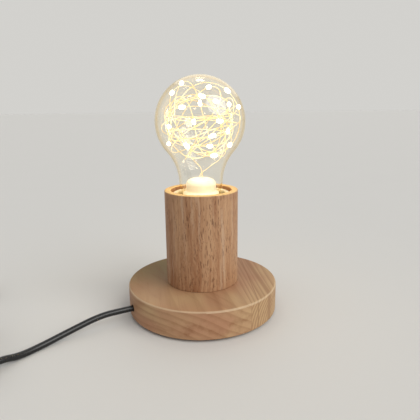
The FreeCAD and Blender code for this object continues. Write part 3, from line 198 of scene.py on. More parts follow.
class Tree:
    """A node tree, with short calls for the nodes in it."""

    def __init__(self, tree: NodeTree) -> None:
        """Keep Blender's own tree."""
        self.tree = tree

    def add(self, kind: str, *values: object, **settings: object) -> Node:
        """Add a node.

        Args:
            kind: The node's type name.
            *values: What its first inputs take, in order.
            **settings: Values for the node's own properties.

        Returns:
            The new node.
        """
        node = self.tree.nodes.new(kind)
        for key, value in settings.items():
            setattr(node, key, value)
        for socket, value in zip(node.inputs, values):
            self.feed(socket, value)
        return node

    def out(self, node: Node, key: str | int) -> Signal:
        """Return one of a node's outputs."""
        return Signal(self, node.outputs[key])

    def feed(self, socket: NodeSocket, value: object) -> None:
        """Link a socket to a signal, or set it to a plain value.

        Args:
            socket: The socket.
            value: The signal or the value.
        """
        if isinstance(value, Signal):
            self.tree.links.new(value.socket, socket)
        else:
            socket.default_value = value

    def fill(self, node: Node, **values: object) -> None:
        """Set a node's inputs by name, with an underscore for each space.

        Args:
            node: The node.
            **values: Signals or plain values.
        """
        for key, value in values.items():
            self.feed(node.inputs[key.replace("_", " ")], value)

    def math(self, work: Sum, *values: Signal | float) -> Signal:
        """Work out one sum."""
        return self.out(self.add("ShaderNodeMath", *values, operation=work.value), "Value")


class Nodes(Tree):
    """One material's node tree, with the patterns that the finishes share."""

    def __init__(self, name: str) -> None:
        """Start a material with one Principled shader.

        Args:
            name: The material's name.
        """
        self.material = bpy.data.materials.new(name)
        self.material.use_nodes = True
        super().__init__(self.material.node_tree)
        self.surface = self.tree.nodes["Principled BSDF"]
        self.output = self.tree.nodes["Material Output"]
        self.coordinates = self.add("ShaderNodeTexCoord")
        self.place = self.out(self.coordinates, "Object")

    def set(self, **values: object) -> None:
        """Set the shader's inputs by name."""
        self.fill(self.surface, **values)

    def millimetres(self, turn: float = 0.0) -> Signal:
        """Find the object's own coordinates in millimetres.

        Args:
            turn: Turn about Z, in degrees.

        Returns:
            The coordinates.
        """
        rotation = (0.0, 0.0, math.radians(turn))
        return self.out(self.add("ShaderNodeMapping", self.place, ORIGIN, rotation, PER_MM), 0)

    def stretched(self, place: Signal, grain: Grain) -> Signal:
        """Return coordinates scaled and shifted as a grain is."""
        return self.out(self.add("ShaderNodeMapping", place, grain.shift, ORIGIN, grain.steps), 0)

    def noise(self, place: Signal, grain: Grain) -> Signal:
        """Sample a soft noise.

        Args:
            place: Where it is sampled.
            grain: How it is drawn out.

        Returns:
            The noise, about 0 to 1.
        """
        node = self.add("ShaderNodeTexNoise")
        self.fill(node, Vector=self.stretched(place, grain), Scale=1.0)
        self.fill(node, Detail=grain.detail, Roughness=grain.rough)
        return self.out(node, "Fac")

    def warped(self, place: Signal, scale: float, amount: float) -> Signal:
        """Push coordinates about by a slow noise.

        Args:
            place: The coordinates.
            scale: The noise's scale in those coordinates.
            amount: How far it pushes, in the same units.

        Returns:
            The pushed coordinates.
        """
        node = self.add("ShaderNodeTexNoise")
        self.fill(node, Vector=place, Scale=scale, Detail=1.0)
        colour = self.out(node, "Color")
        kind = "ShaderNodeVectorMath"
        push = self.out(self.add(kind, colour, (0.5,) * 3, operation="SUBTRACT"), 0)
        return self.out(self.add(kind, push, (amount,) * 3, place, operation="MULTIPLY_ADD"), 0)

    def specks(self, place: Signal, grain: Grain) -> Signal:
        """Measure how far the nearest of scattered points is.

        Args:
            place: Where it is sampled.
            grain: How the points are drawn out.

        Returns:
            The distance.
        """
        node = self.add("ShaderNodeTexVoronoi")
        self.fill(node, Vector=self.stretched(place, grain), Scale=1.0)
        return self.out(node, "Distance")

    def axes(self, vector: Signal) -> tuple[Signal, Signal, Signal]:
        """Take a vector apart.

        Args:
            vector: The vector.

        Returns:
            Its X, Y and Z.
        """
        node = self.add("ShaderNodeSeparateXYZ", vector)
        return self.out(node, 0), self.out(node, 1), self.out(node, 2)

    def level(self) -> Signal:
        """Return how far the surface faces up, 1 where it is level."""
        return self.axes(self.out(self.coordinates, "Normal"))[2]

    def mix(self, factor: Signal, first: Signal | Colour, second: Signal | Colour) -> Signal:
        """Mix two colours.

        Args:
            factor: How much of the second.
            first: The first colour.
            second: The second colour.

        Returns:
            The mixed colour.
        """
        node = self.add("ShaderNodeMix", factor, data_type="RGBA")
        self.feed(node.inputs[MIX_FIRST], first)
        self.feed(node.inputs[MIX_SECOND], second)
        return self.out(node, MIX_RESULT)

    def bump(self, height: Signal, depth: float, strength: float) -> None:
        """Raise the surface by a height.

        Args:
            height: The height, 0 to 1.
            depth: What 1 stands for, in metres.
            strength: How strongly it shows.
        """
        node = self.add("ShaderNodeBump")
        self.fill(node, Height=height, Distance=depth, Strength=strength)
        self.set(Normal=self.out(node, "Normal"))


class Finish(Protocol):
    """Anything that makes a material."""

    def material(self) -> Material:
        """Return the material."""


@dataclass(frozen=True)
class ColumnWood:
    """Open-pored wood with upright fibres, sanded and thinly oiled; in millimetres."""

    name: str = "column_wood"
    pale: Colour = linear(0.765, 0.605, 0.46)
    deep: Colour = linear(0.61, 0.425, 0.295)
    silver: Colour = linear(0.80, 0.69, 0.585)
    pore: Colour = linear(0.36, 0.22, 0.145)
    # end: the pale golden colour of level faces, which is painted light of the bulb on the column's
    # rim.
    end: Colour = linear(0.90, 0.775, 0.535)
    warp_scale: float = 0.07
    warp: float = 2.6
    drift: Grain = Grain((0.05, 0.05, 0.008), detail=2.0)
    streaks: Grain = Grain((0.62, 0.62, 0.018), detail=4.0, rough=0.62)
    fibres: Grain = Grain((2.1, 2.1, 0.07), rough=0.6)
    bands: Grain = Grain((0.30, 0.30, 0.012), (8.0, 2.0, 0.0), 2.0)
    pores: Grain = Grain((0.95, 0.95, 0.13))
    dashes: Grain = Grain((1.5, 1.5, 0.30), (7.0, 3.0, 0.0))
    patches: Grain = Grain((0.11, 0.11, 0.035), (0.0, 5.0, 0.0))
    band_share: float = 0.55
    pore_share: float = 0.74
    painted_rim_light_share: float = 0.72
    gloss: Pair = (0.62, 0.52)
    relief: float = 0.0002

    def material(self) -> Material:
        """Draw streaks, silvery bands and short dark pores along Z, and paler painted bulb light on
        level faces.

        Returns:
            The wood.
        """
        n = Nodes(self.name)
        place = n.warped(n.millimetres(), self.warp_scale, self.warp)
        streaks = n.noise(place, self.streaks)
        tone = n.noise(place, self.drift) * 0.6 + streaks * 0.65
        tone = (tone + n.noise(place, self.fibres) * 0.35).within(0.60, 1.02)
        colour = n.mix(tone, self.deep, self.pale)
        bands = n.noise(place, self.bands).within(0.56, 0.74, (0.0, self.band_share))
        colour = n.mix(bands, colour, self.silver)
        pores = n.specks(place, self.pores).within(0.17, 0.34, FALL)
        dashes = n.specks(place, self.dashes).within(0.14, 0.30, (0.9, 0.0))
        patches = n.noise(place, self.patches).within(0.38, 0.62)
        pores = pores.larger(dashes) * patches.within(*RISE, (0.35, 1.0))
        colour = n.mix(pores * self.pore_share, colour, self.pore)
        # Level faces turn pale golden: painted light of the bulb on the column's rim.
        colour = n.mix(n.level().within(0.3, 0.8) * self.painted_rim_light_share, colour, self.end)
        n.set(Base_Color=colour, Roughness=tone.within(*RISE, self.gloss), Specular_IOR_Level=0.3)
        n.bump(streaks * 0.5 - pores * 0.9, self.relief, 0.5)
        return n.material


@dataclass(frozen=True)
class Board:
    """How one board was sawn: its pith's place, and its rings' spacing, contrast and sway."""

    across: float
    below: float
    spacing: float
    contrast: float
    sway: float


@dataclass(frozen=True)
class GrowthLine:
    """One darker line: where it crosses the middle, its lean, half its width and its strength."""

    at: float
    lean: float
    half: float
    strength: float


@dataclass(frozen=True)
class BaseWood:
    """Two pale boards glued edge to edge, with rings round each one's pith; in millimetres."""

    name: str = "base_wood"
    pale: Colour = linear(0.765, 0.635, 0.475)
    pink: Colour = linear(0.71, 0.53, 0.405)
    # An olive tinge at the back of the top: partly the wood's own colour, partly painted shade of
    # the column.
    olive_with_painted_shade: Colour = linear(0.53, 0.44, 0.255)
    late: Colour = linear(0.52, 0.335, 0.20)
    # A paler colour along the rounded edges: a painted highlight.
    painted_edge_highlight: Colour = linear(0.88, 0.79, 0.66)
    glue_line: float = 24.2
    glue_half: float = 0.12
    fibre_turn: float = -8.0
    figure_turn: float = -34.0
    left: Board = Board(-46.0, -95.0, 4.3, 0.34, 11.0)
    right: Board = Board(61.0, -3.0, 2.15, 0.62, 3.85)
    lines: tuple[GrowthLine, ...] = (
        GrowthLine(33.2, -13.0, 0.35, 0.55), GrowthLine(39.6, -8.5, 1.5, 0.5),
    )
    wave: Grain = Grain((0.022, 0.006, 0.022), detail=2.0, rough=0.4)
    streaks: Grain = Grain((0.34, 0.011, 0.34), rough=0.6)
    fibres: Grain = Grain((1.5, 0.05, 1.5), detail=4.0, rough=0.6)
    bands: Grain = Grain((0.085, 0.004, 0.085), (3.0, 0.0, 0.0), 2.0)
    figure: Grain = Grain((0.16, 0.012, 0.16), (9.0, 4.0, 0.0))
    blotches: Grain = Grain((0.022, 0.014, 0.03), (4.0, 1.0, 0.0), 2.0)
    gloss: Pair = (0.55, 0.63)
    relief: float = 0.00014

    def rings(self, n: Nodes, place: Signal, board: Board, wave: Signal) -> Signal:
        """Draw one board's rings.

        Args:
            n: The node tree.
            place: Coordinates, X across the fibres and Y along them.
            board: The board.
            wave: A slow noise that the rings follow, 0 to 1.

        Returns:
            How much late wood shows, 0 to 1.
        """
        x, y, z = n.axes(place)
        across = x - board.across
        up = z - board.below
        radius = n.math(Sum.ROOT, across * across + up * up) + y * 0.03 + (wave - 0.5) * board.sway
        part = n.math(Sum.FRACTION, n.math(Sum.DIVIDE, radius, board.spacing))
        return part.within(0.30, 0.88) * part.within(0.90, 1.0, FALL) * board.contrast

    def line(self, n: Nodes, place: Signal, line: GrowthLine) -> Signal:
        """Draw one darker growth line.

        Args:
            n: The node tree.
            place: Coordinates, X across the fibres and Y along them.
            line: The line.

        Returns:
            How much of the line shows, 0 to 1.
        """
        x, y, _ = n.axes(place)
        off = abs(x - line.at + y * math.tan(math.radians(line.lean - self.fibre_turn)))
        return off.within(line.half * 0.5, line.half * 1.6, FALL) * line.strength

    def late_wood(self, n: Nodes, place: Signal, grain: Signal) -> Signal:
        """Draw both boards' rings, streaks, slanting figure and glue line.

        Args:
            n: The node tree.
            place: Coordinates, X across the fibres and Y along them.
            grain: The fine fibres, 0 to 1.

        Returns:
            How much late wood shows, 0 to 1.
        """
        x, _, _ = n.axes(place)
        wave = n.noise(place, self.wave)
        side = x.within(self.glue_line - self.glue_half, self.glue_line + self.glue_half)
        rings = self.rings(n, place, self.left, wave) * (1.0 - side)
        rings = rings + self.rings(n, place, self.right, wave) * side
        rings = rings * n.level().within(0.4, 0.9, (1.0, 0.72)) * 0.8
        streaks = grain.within(0.46, 0.78, (0.0, 0.24))
        bands = n.noise(place, self.bands).within(0.5, 0.72) * 0.16
        figure = n.noise(n.millimetres(self.figure_turn), self.figure)
        figure = figure.within(0.5, 0.72, (0.0, 0.30)) * (1.0 - side)
        seam = abs(x - self.glue_line).within(0.06, 0.24, (0.5, 0.0))
        return n.math(Sum.SMALLER, rings + streaks + bands + figure, 1.0).larger(seam)

    def material(self) -> Material:
        """Draw the boards, a drift of tone with painted light on its +X side, an olive tinge with
        painted shade at the back and a painted highlight on the rounded edges.

        Returns:
            The wood.
        """
        n = Nodes(self.name)
        place = n.millimetres(self.fibre_turn)
        x, y, _ = n.axes(place)
        level = n.level()
        grain = n.noise(place, self.fibres) * 0.45 + n.noise(place, self.streaks) * 0.55
        late = self.late_wood(n, place, grain)
        # The blotches are random tone; the ramp along X, paler on the +X side, is painted light from
        # the key side.
        drift = n.noise(place, self.blotches) + x.within(-40.0, 45.0, (-0.12, 0.16))
        base = n.mix(drift.within(0.38, 0.62), self.pink, self.pale)
        # The back of the top turns olive and darker, most on level faces: partly wood tinge, partly
        # painted shade of the column.
        back = y.within(-38.0, 30.0) * x.within(-30.0, 50.0, (1.0, 0.15))
        base = n.mix(back * level.within(0.4, 0.9, (0.25, 1.0)), base, self.olive_with_painted_shade)
        thin, broad = (self.line(n, place, line) for line in self.lines)
        colour = n.mix(late.larger(thin.larger(broad)), base, self.late)
        # Between the level top and the upright side the colour turns paler: a painted highlight on
        # the rounded edge.
        edge_highlight_mask = level.within(0.1, 0.45) * level.within(0.85, 0.99, FALL)
        colour = n.mix(edge_highlight_mask * 0.45, colour, self.painted_edge_highlight)
        n.set(Base_Color=colour, Roughness=late.within(*RISE, self.gloss), Specular_IOR_Level=0.3)
        n.bump(1.0 - grain, self.relief, 0.45)
        return n.material


@dataclass(frozen=True)
class Moulded:
    """Moulded plastic, rubber or glazed ware: a drift of tone, fine texture, its own gloss and at
    times a painted glow.
    """

    name: str
    colour: Colour
    roughness: float = 0.4
    texture: float = 900.0
    depth: float = 0.00003
    coat: float = 0.0
    glow: float = 0.0

    def material(self) -> Material:
        """Draw the drift of tone, the texture and any painted glow.

        Returns:
            The plastic.
        """
        n = Nodes(self.name)
        tone = n.noise(n.place, Grain((60.0,) * 3)).within(0.3, 0.7)
        n.set(Base_Color=n.mix(tone, shade(self.colour, 0.8), shade(self.colour, 1.12, 0.002)))
        grain = n.noise(n.place, Grain((self.texture,) * 3, detail=2.0))
        gloss = (max(0.03, self.roughness - 0.06), self.roughness + 0.08)
        n.set(Roughness=grain.within(0.2, 0.8, gloss), Coat_Weight=self.coat, Coat_Roughness=0.08)
        # A glow is painted light: emission that stands for the small lights' light on a part that is
        # no lamp, such as the stopper.
        if self.glow:
            n.set(Emission_Color=linear(1.0, 0.90, 0.70), Emission_Strength=self.glow)
        n.bump(grain, self.depth, 0.6)
        return n.material


@dataclass(frozen=True)
class Metalwork:
    """Turned, drawn or plated metal: fine marks, and a dull patch here and there."""

    name: str
    colour: Colour
    roughness: float = 0.3
    marks: Grain = Grain((200.0, 200.0, 2600.0))
    patches: Grain = Grain((120.0, 120.0, 120.0))

    def material(self) -> Material:
        """Draw the marks and the patches.

        Returns:
            The metal.
        """
        n = Nodes(self.name)
        marks = n.noise(n.place, self.marks)
        patches = n.noise(n.place, self.patches)
        dull = n.mix(patches.within(0.45, 0.8), self.colour, shade(self.colour, 0.72))
        n.set(Base_Color=dull, Metallic=1.0)
        n.set(Roughness=patches * 0.22 + (self.roughness - 0.08) + marks * 0.08)
        n.bump(marks, 0.00002, 0.5)
        return n.material


@dataclass(frozen=True)
class ClearGlass:
    """Thin clear glass that lets the small lights' light out, with their glow painted into its rim
    as a golden tint and a faint emission.
    """

    name: str = "bulb_clear_glass"
    tint: Colour = linear(0.998, 0.993, 0.972)
    # A golden tint at grazing angles: painted glow of the small lights in the glass rim.
    painted_glow_tint: Colour = linear(0.91, 0.76, 0.42)
    glow_tint_from: float = 0.14
    glow_tint_full: float = 0.40
    # rim: the colour of a faint emission at grazing angles, painted glow in glass that is no lamp.
    rim: Colour = linear(1.0, 0.87, 0.52)
    rim_glow: float = 0.42
    rim_power: float = 1.7
    shadow: Colour = linear(0.99, 0.985, 0.97)
    waves: Grain = Grain((45.0, 45.0, 25.0), detail=1.0)

    def material(self) -> Material:
        """Make glass that casts hardly any shadow, with faint waves as blown glass has.

        Returns:
            The glass.
        """
        n = Nodes(self.name)
        facing = n.out(n.add("ShaderNodeLayerWeight", 0.12), "Facing")
        # Grazing angles take a golden tint: painted glow of the small lights.
        colour = n.mix(facing.within(self.glow_tint_from, self.glow_tint_full), self.tint, self.painted_glow_tint)
        n.set(Base_Color=colour, Roughness=0.0, IOR=1.47, Transmission_Weight=1.0)
        # The rim glows faintly: painted light, since the glass is no lamp.
        edge = n.math(Sum.POWER, facing, self.rim_power)
        n.set(Emission_Color=self.rim, Emission_Strength=edge * self.rim_glow)
        n.bump(n.noise(n.place, self.waves), 0.0002, 0.12)
        path = n.add("ShaderNodeLightPath")
        through = n.out(path, "Is Shadow Ray").larger(n.out(path, "Is Diffuse Ray"))
        clear = n.out(n.add("ShaderNodeBsdfTransparent", self.shadow), "BSDF")
        mixed = n.add("ShaderNodeMixShader", through, n.out(n.surface, "BSDF"), clear)
        n.fill(n.output, Surface=n.out(mixed, "Shader"))
        return n.material


@dataclass(frozen=True)
class WarmLight:
    """Clear resin over a lit chip: white-hot in places, warm in others."""

    name: str = "small_light_glow"
    resin: Colour = linear(1.0, 0.95, 0.82)
    warm: Colour = linear(1.0, 0.90, 0.70)
    hot: Colour = linear(1.0, 0.96, 0.86)
    strength: float = 9.0

    def material(self) -> Material:
        """Draw the swirl of warmer and whiter light.

        Returns:
            The lit resin.
        """
        n = Nodes(self.name)
        swirl = n.noise(n.place, Grain((500.0,) * 3, detail=2.0)).within(0.3, 0.7)
        n.set(Base_Color=self.resin, Roughness=0.15)
        n.set(Emission_Color=n.mix(swirl, self.warm, self.hot), Emission_Strength=self.strength)
        return n.material


@dataclass(frozen=True)
class LitWire:
    """Thin lacquered wire with a painted glow: an emission that stands for the small lights' light
    on it.
    """

    name: str = "light_wire_lacquer_painted_glow"
    deep: Colour = linear(0.86, 0.70, 0.42)
    pale: Colour = linear(0.97, 0.90, 0.72)
    warm: Colour = linear(1.0, 0.89, 0.62)
    hot: Colour = linear(1.0, 0.975, 0.87)
    glow: float = 0.60

    def material(self) -> Material:
        """Draw the drift from deeper to paler lacquer, and the painted glow.

        Returns:
            The wire.
        """
        n = Nodes(self.name)
        tone = n.noise(n.place, Grain((160.0,) * 3, detail=2.0)).within(0.3, 0.7)
        n.set(Base_Color=n.mix(tone, self.deep, self.pale), Metallic=0.5)
        n.set(Roughness=tone.within(*RISE, (0.22, 0.38)))
        # The wire is no lamp: its emission is painted light of the small lights on it.
        n.set(Emission_Color=n.mix(tone, self.warm, self.hot), Emission_Strength=self.glow)
        return n.material


FINISHES: dict[str, Finish] = {
    "rubber_black": Moulded("pad_rubber", linear(0.11, 0.11, 0.11), 0.85, 2200.0, 0.00012),
    "wood_base": BaseWood(),
    "wood_column": ColumnWood(),
    "screw_steel": Metalwork("screw_steel", linear(0.78, 0.78, 0.79), 0.32),
    "zinc_steel": Metalwork("zinc_steel", linear(0.80, 0.79, 0.76), 0.36),
    "cord_black": Moulded("cord_jacket", linear(0.03, 0.031, 0.04), 0.26, 1600.0, 0.00001, 0.08),
    "lead_brown": Moulded("live_lead_jacket", linear(0.42, 0.24, 0.13), 0.35),
    "lead_blue": Moulded("neutral_lead_jacket", linear(0.12, 0.30, 0.66), 0.35),
    "nylon_white": Moulded("clamp_nylon", linear(0.90, 0.89, 0.84), 0.5),
    "holder_white": Moulded("holder_white", linear(0.90, 0.84, 0.70), 0.3, 700.0, 0.00002, 0.2),
    "porcelain": Moulded("insert_glaze", linear(0.93, 0.92, 0.89), 0.15, 400.0, 0.00002, 0.5),
    "brass_plain": Metalwork("plain_brass", linear(0.86, 0.70, 0.38), 0.3),
    "clear_glass": ClearGlass(),
    "nickel_cap": Metalwork("cap_nickel", linear(0.84, 0.82, 0.77), 0.24),
    "insulator_black": Moulded(
        "cap_insulator", linear(0.12, 0.12, 0.13), 0.12, 500.0, 0.00001, 0.4),
    "solder_tin": Metalwork("tip_solder", linear(0.76, 0.76, 0.74), 0.4),
    # The stopper's glow is painted light of the small lights around it.
    "stopper_white": Moulded(
        "stopper_white", linear(0.96, 0.94, 0.88), 0.35, 700.0, 0.00002, 0.1, 0.35),
    "board_green": Moulded("driver_board", linear(0.10, 0.36, 0.20), 0.3, 1200.0),
    "capacitor_dark": Moulded("capacitor_sleeve", linear(0.16, 0.18, 0.28), 0.3),
    "component_black": Moulded("driver_component", linear(0.15, 0.15, 0.15), 0.5),
    "lead_copper": Metalwork("driver_lead_copper", linear(0.85, 0.58, 0.40), 0.3),
    "wire_copper": LitWire(),
    "light_warm": WarmLight(),
    "switch_black": Moulded(
        "switch_and_plug_shell", linear(0.095, 0.095, 0.10), 0.38, 1500.0, 0.00004),
    "rocker_black": Moulded("rocker_gloss", linear(0.075, 0.075, 0.08), 0.2, 1200.0, 0.00001, 0.3),
    "tie_black": Moulded("tie_strap", linear(0.10, 0.10, 0.105), 0.8, 2400.0, 0.0002),
    "pin_nickel": Metalwork("pin_nickel", linear(0.83, 0.82, 0.79), 0.2),
}


@dataclass(frozen=True)
class Sun:
    """One broad soft light from far away, which lights the floor alike near and far."""

    name: str
    towards: Triple
    spread: float
    strength: float
    colour: Triple


@dataclass
class Studio:
    """The pale floor, the soft light and the camera that stands where the photograph was taken."""

    eye: Triple = (0.0, -278.65, 137.9)
    yaw: float = -1.212
    pitch: float = 13.56
    roll: float = -0.613
    focal_pixels: float = 415.09
    frame_pixels: float = 420.0
    sensor: float = 36.0
    floor_radius: float = 30.0
    paper: Colour = linear(0.88, 0.875, 0.86)
    sky: Colour = linear(0.826, 0.821, 0.806)
    ambient: float = 0.43
    suns: tuple[Sun, ...] = (
        Sun("key", (1.0, -0.8, 1.0), 48.0, 1.60, (1.0, 0.985, 0.96)),
        Sun("fill", (-1.0, -0.7, 0.8), 70.0, 0.12, (0.97, 0.985, 1.0)),
        Sun("rear", (0.2, 1.0, 0.9), 60.0, 0.28, (1.0, 1.0, 1.0)),
    )
    glow_watts: float = 0.075
    glow_colour: Triple = (1.0, 0.80, 0.50)
    glow_radius: float = 0.018
    glow_height: float = 0.128

    def build(self) -> None:
        """Make the floor, the world, the lights and the camera."""
        bpy.context.scene.view_settings.view_transform = "Standard"
        self.make_floor()
        self.make_world()
        for sun in self.suns:
            self.make_sun(sun)
        self.make_globe_glow()
        self.make_camera()

    def make_floor(self) -> None:
        """Make the plain pale floor."""
        shape = bmesh.new()
        bmesh.ops.create_circle(shape, cap_ends=True, radius=self.floor_radius, segments=96)
        floor = mesh_piece("floor", shape)
        n = Nodes("floor_paper")
        tone = n.noise(n.place, Grain((12.0,) * 3, detail=2.0))
        colour = n.mix(tone, shade(self.paper, 0.985), self.paper)
        n.set(Base_Color=colour, Roughness=0.75, Specular_IOR_Level=0.2)
        floor.data.materials.append(n.material)

    def make_world(self) -> None:
        """Make a pale surround that camera, gloss and glass see, and a gentler light from it."""
        world = bpy.data.worlds.new("surround")
        bpy.context.scene.world = world
        world.use_nodes = True
        world.node_tree.nodes.clear()
        n = Tree(world.node_tree)
        path = n.add("ShaderNodeLightPath")
        seen = n.out(path, "Is Camera Ray").larger(n.out(path, "Is Glossy Ray"))
        seen = seen.larger(n.out(path, "Is Transmission Ray"))
        light = n.add("ShaderNodeBackground", (1.0, 1.0, 1.0, 1.0), self.ambient)
        sky = n.add("ShaderNodeBackground", self.sky, 1.0)
        mix = n.add("ShaderNodeMixShader", seen, n.out(light, 0), n.out(sky, 0))
        n.add("ShaderNodeOutputWorld", n.out(mix, 0))

    def make_sun(self, sun: Sun) -> None:
        """Hang one far light.

        Args:
            sun: The light.
        """
        data = bpy.data.lights.new(sun.name, "SUN")
        data.angle = math.radians(sun.spread)
        data.energy = sun.strength
        data.color = sun.colour
        lamp = new_object(sun.name, data)
        lamp.location = sun.towards
        lamp.rotation_euler = Vector(sun.towards).to_track_quat("Z", "Y").to_euler()

    def make_globe_glow(self) -> None:
        """Make the summed light of the small lights, which warms the column's rim and the base."""
        data = bpy.data.lights.new("globe_glow", "POINT")
        data.energy = self.glow_watts
        data.color = self.glow_colour
        data.shadow_soft_size = self.glow_radius
        lamp = new_object("globe_glow", data)
        lamp.location = (0.0, 0.0, self.glow_height)
        lamp.visible_glossy = False
        lamp.visible_transmission = False
        lamp.visible_camera = False

    def make_camera(self) -> None:
        """Stand the camera where the measured edges of the photograph put it."""
        yaw, pitch, roll = (math.radians(v) for v in (self.yaw, self.pitch, self.roll))
        level = Vector((math.cos(yaw), math.sin(yaw), 0.0))
        ahead = Vector((-math.sin(yaw), math.cos(yaw), 0.0)) * math.cos(pitch)
        ahead.z = -math.sin(pitch)
        up = level.cross(ahead)
        right = level * math.cos(roll) + up * math.sin(roll)
        top = up * math.cos(roll) - level * math.sin(roll)
        data = bpy.data.cameras.new("camera")
        data.sensor_width = self.sensor
        data.lens = self.sensor * self.focal_pixels / self.frame_pixels
        data.clip_start = 0.01
        camera = new_object("camera", data)
        turn = Matrix((right, top, -ahead)).transposed().to_4x4()
        camera.matrix_world = Matrix.Translation(Vector(self.eye) * MM) @ turn
        bpy.context.scene.camera = camera


def new_object(name: str, data: ID) -> Object:
    """Put an object with some data into the scene.

    Args:
        name: Its name.
        data: Its mesh, curve, light or camera.

    Returns:
        The object.
    """
    item = bpy.data.objects.new(name, data)
    bpy.context.collection.objects.link(item)
    return item


def smooth_curve(
    name: str, points: Sequence[Vector], radius: float, roundness: int = 4, steps: int = 8
) -> Object:
    """Make a round cord or wire on one smooth line.

    Args:
        name: The piece's name.
        points: The line's control points, in millimetres.
        radius: The cord's radius, in millimetres.
        roundness: The resolution of its section.
        steps: The resolution of its line.

    Returns:
        The curve object.
    """
    data = bpy.data.curves.new(name, "CURVE")
    data.dimensions = "3D"
    data.bevel_depth = radius * MM
    data.bevel_resolution = roundness
    data.use_fill_caps = True
    data.resolution_u = steps
    spline = data.splines.new("NURBS")
    spline.points.add(len(points) - 1)
    for target, point in zip(spline.points, points):
        target.co = (*(point * MM), 1.0)
    spline.use_endpoint_u = True
    spline.order_u = 3
    return new_object(name, data)


def mesh_piece(name: str, shape: bmesh.types.BMesh) -> Object:
    """Turn a finished bmesh into an object with smooth shading.

    Args:
        name: The piece's name.
        shape: The bmesh, which is freed.

    Returns:
        The mesh object.
    """
    mesh = bpy.data.meshes.new(name)
    shape.to_mesh(mesh)
    shape.free()
    for face in mesh.polygons:
        face.use_smooth = True
    return new_object(name, mesh)


def skin(shape: bmesh.types.BMesh, rows: Sequence[Sequence[bmesh.types.BMVert]]) -> None:
    """Join each closed row of corners to the next with faces all round.

    Args:
        shape: The bmesh that takes the faces.
        rows: The rows, all of one length.
    """
    for low, high in zip(rows, rows[1:]):
        for j in range(len(low)):
            k = (j + 1) % len(low)
            shape.faces.new((low[j], low[k], high[k], high[j]))


class Workshop:
    """Hands out each finish once, and dresses nodes and new pieces with it."""

    def __init__(self, frame: dict) -> None:
        """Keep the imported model.
        """
        self.frame = frame
        self.made: dict[str, Material] = {}
        self.slots = {s["node"]: s["material_slot"] for s in frame["record"]["subparts"]}

    def finish(self, slot: str) -> Material:
        """Find or make the material of a slot.

        Args:
            slot: The slot.

        Returns:
            Its material.
        """
        if slot not in self.made:
            self.made[slot] = FINISHES[slot].material()
        return self.made[slot]

    def nodes(self, names: Iterable[str]) -> list[Object]:
        """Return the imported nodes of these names."""
        return [self.frame["nodes"][name] for name in names]

    def dress(self, names: Iterable[str]) -> None:
        """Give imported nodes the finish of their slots.

        Args:
            names: The nodes' names.
        """
        for name in names:
            item = self.frame["nodes"][name]
            item.data.materials.clear()
            item.data.materials.append(self.finish(self.slots[name]))
            LOG.info("dressed %s", name)

    def add(self, piece: Object, body: Body, slot: str, *replaced: str) -> Object:
        """Put a new piece on a body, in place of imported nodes.

        Args:
            piece: The new piece.
            body: The body that it moves with.
            slot: The slot that it takes its finish from.
            *replaced: The nodes that it stands for.

        Returns:
            The piece.
        """
        piece.data.materials.append(self.finish(slot))
        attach(piece, body.value)
        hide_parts(*replaced)
        LOG.info("built %s on %s", piece.name, body.value)
        return piece


@dataclass
class Stand:
    """The wooden base and column with what clamps them together."""

    shop: Workshop
    parts: tuple[str, ...] = (
        "base_pad", "base_disc", "column", "column_screws", "threaded_tube", "tube_nuts",
        "tube_washers",
    )

    def build(self) -> None:
        """Dress the stand's nodes."""
        self.shop.dress(self.parts)


@dataclass
class Holder:
    """The lamp holder with its contacts, and the cord's last stretch inside the base."""

    shop: Workshop
    parts: tuple[str, ...] = (
        "holder_cap", "holder_shell", "holder_insert", "holder_screw_shell", "centre_contact",
        "side_contact", "terminal_blocks", "terminal_screws", "cord_inner", "live_lead",
        "neutral_lead", "cord_clamp", "clamp_screws",
    )

    def build(self) -> None:
        """Dress the holder's nodes."""
        self.shop.dress(self.parts)


# Where the lights sit on the wire, in loops from its start, so that they show where the photograph
# has them.
LIGHT_TURNS = (
    2.738, 3.62, 4.166, 5.073, 5.319, 5.62, 5.765, 6.129, 6.725, 7.197,
    7.847, 8.413, 9.137, 10.6, 11.9, 13.2, 14.52, 15.3, 16.016, 17.162,
)


@dataclass(frozen=True)
class Swing:
    """A slow swing to and fro along the winding: how far, how fast, and where it starts."""

    size: float
    rate: float
    phase: float

    def at(self, turns: float) -> float:
        """Return how far it has swung after some loops."""
        return self.size * math.sin(self.rate * turns + self.phase)


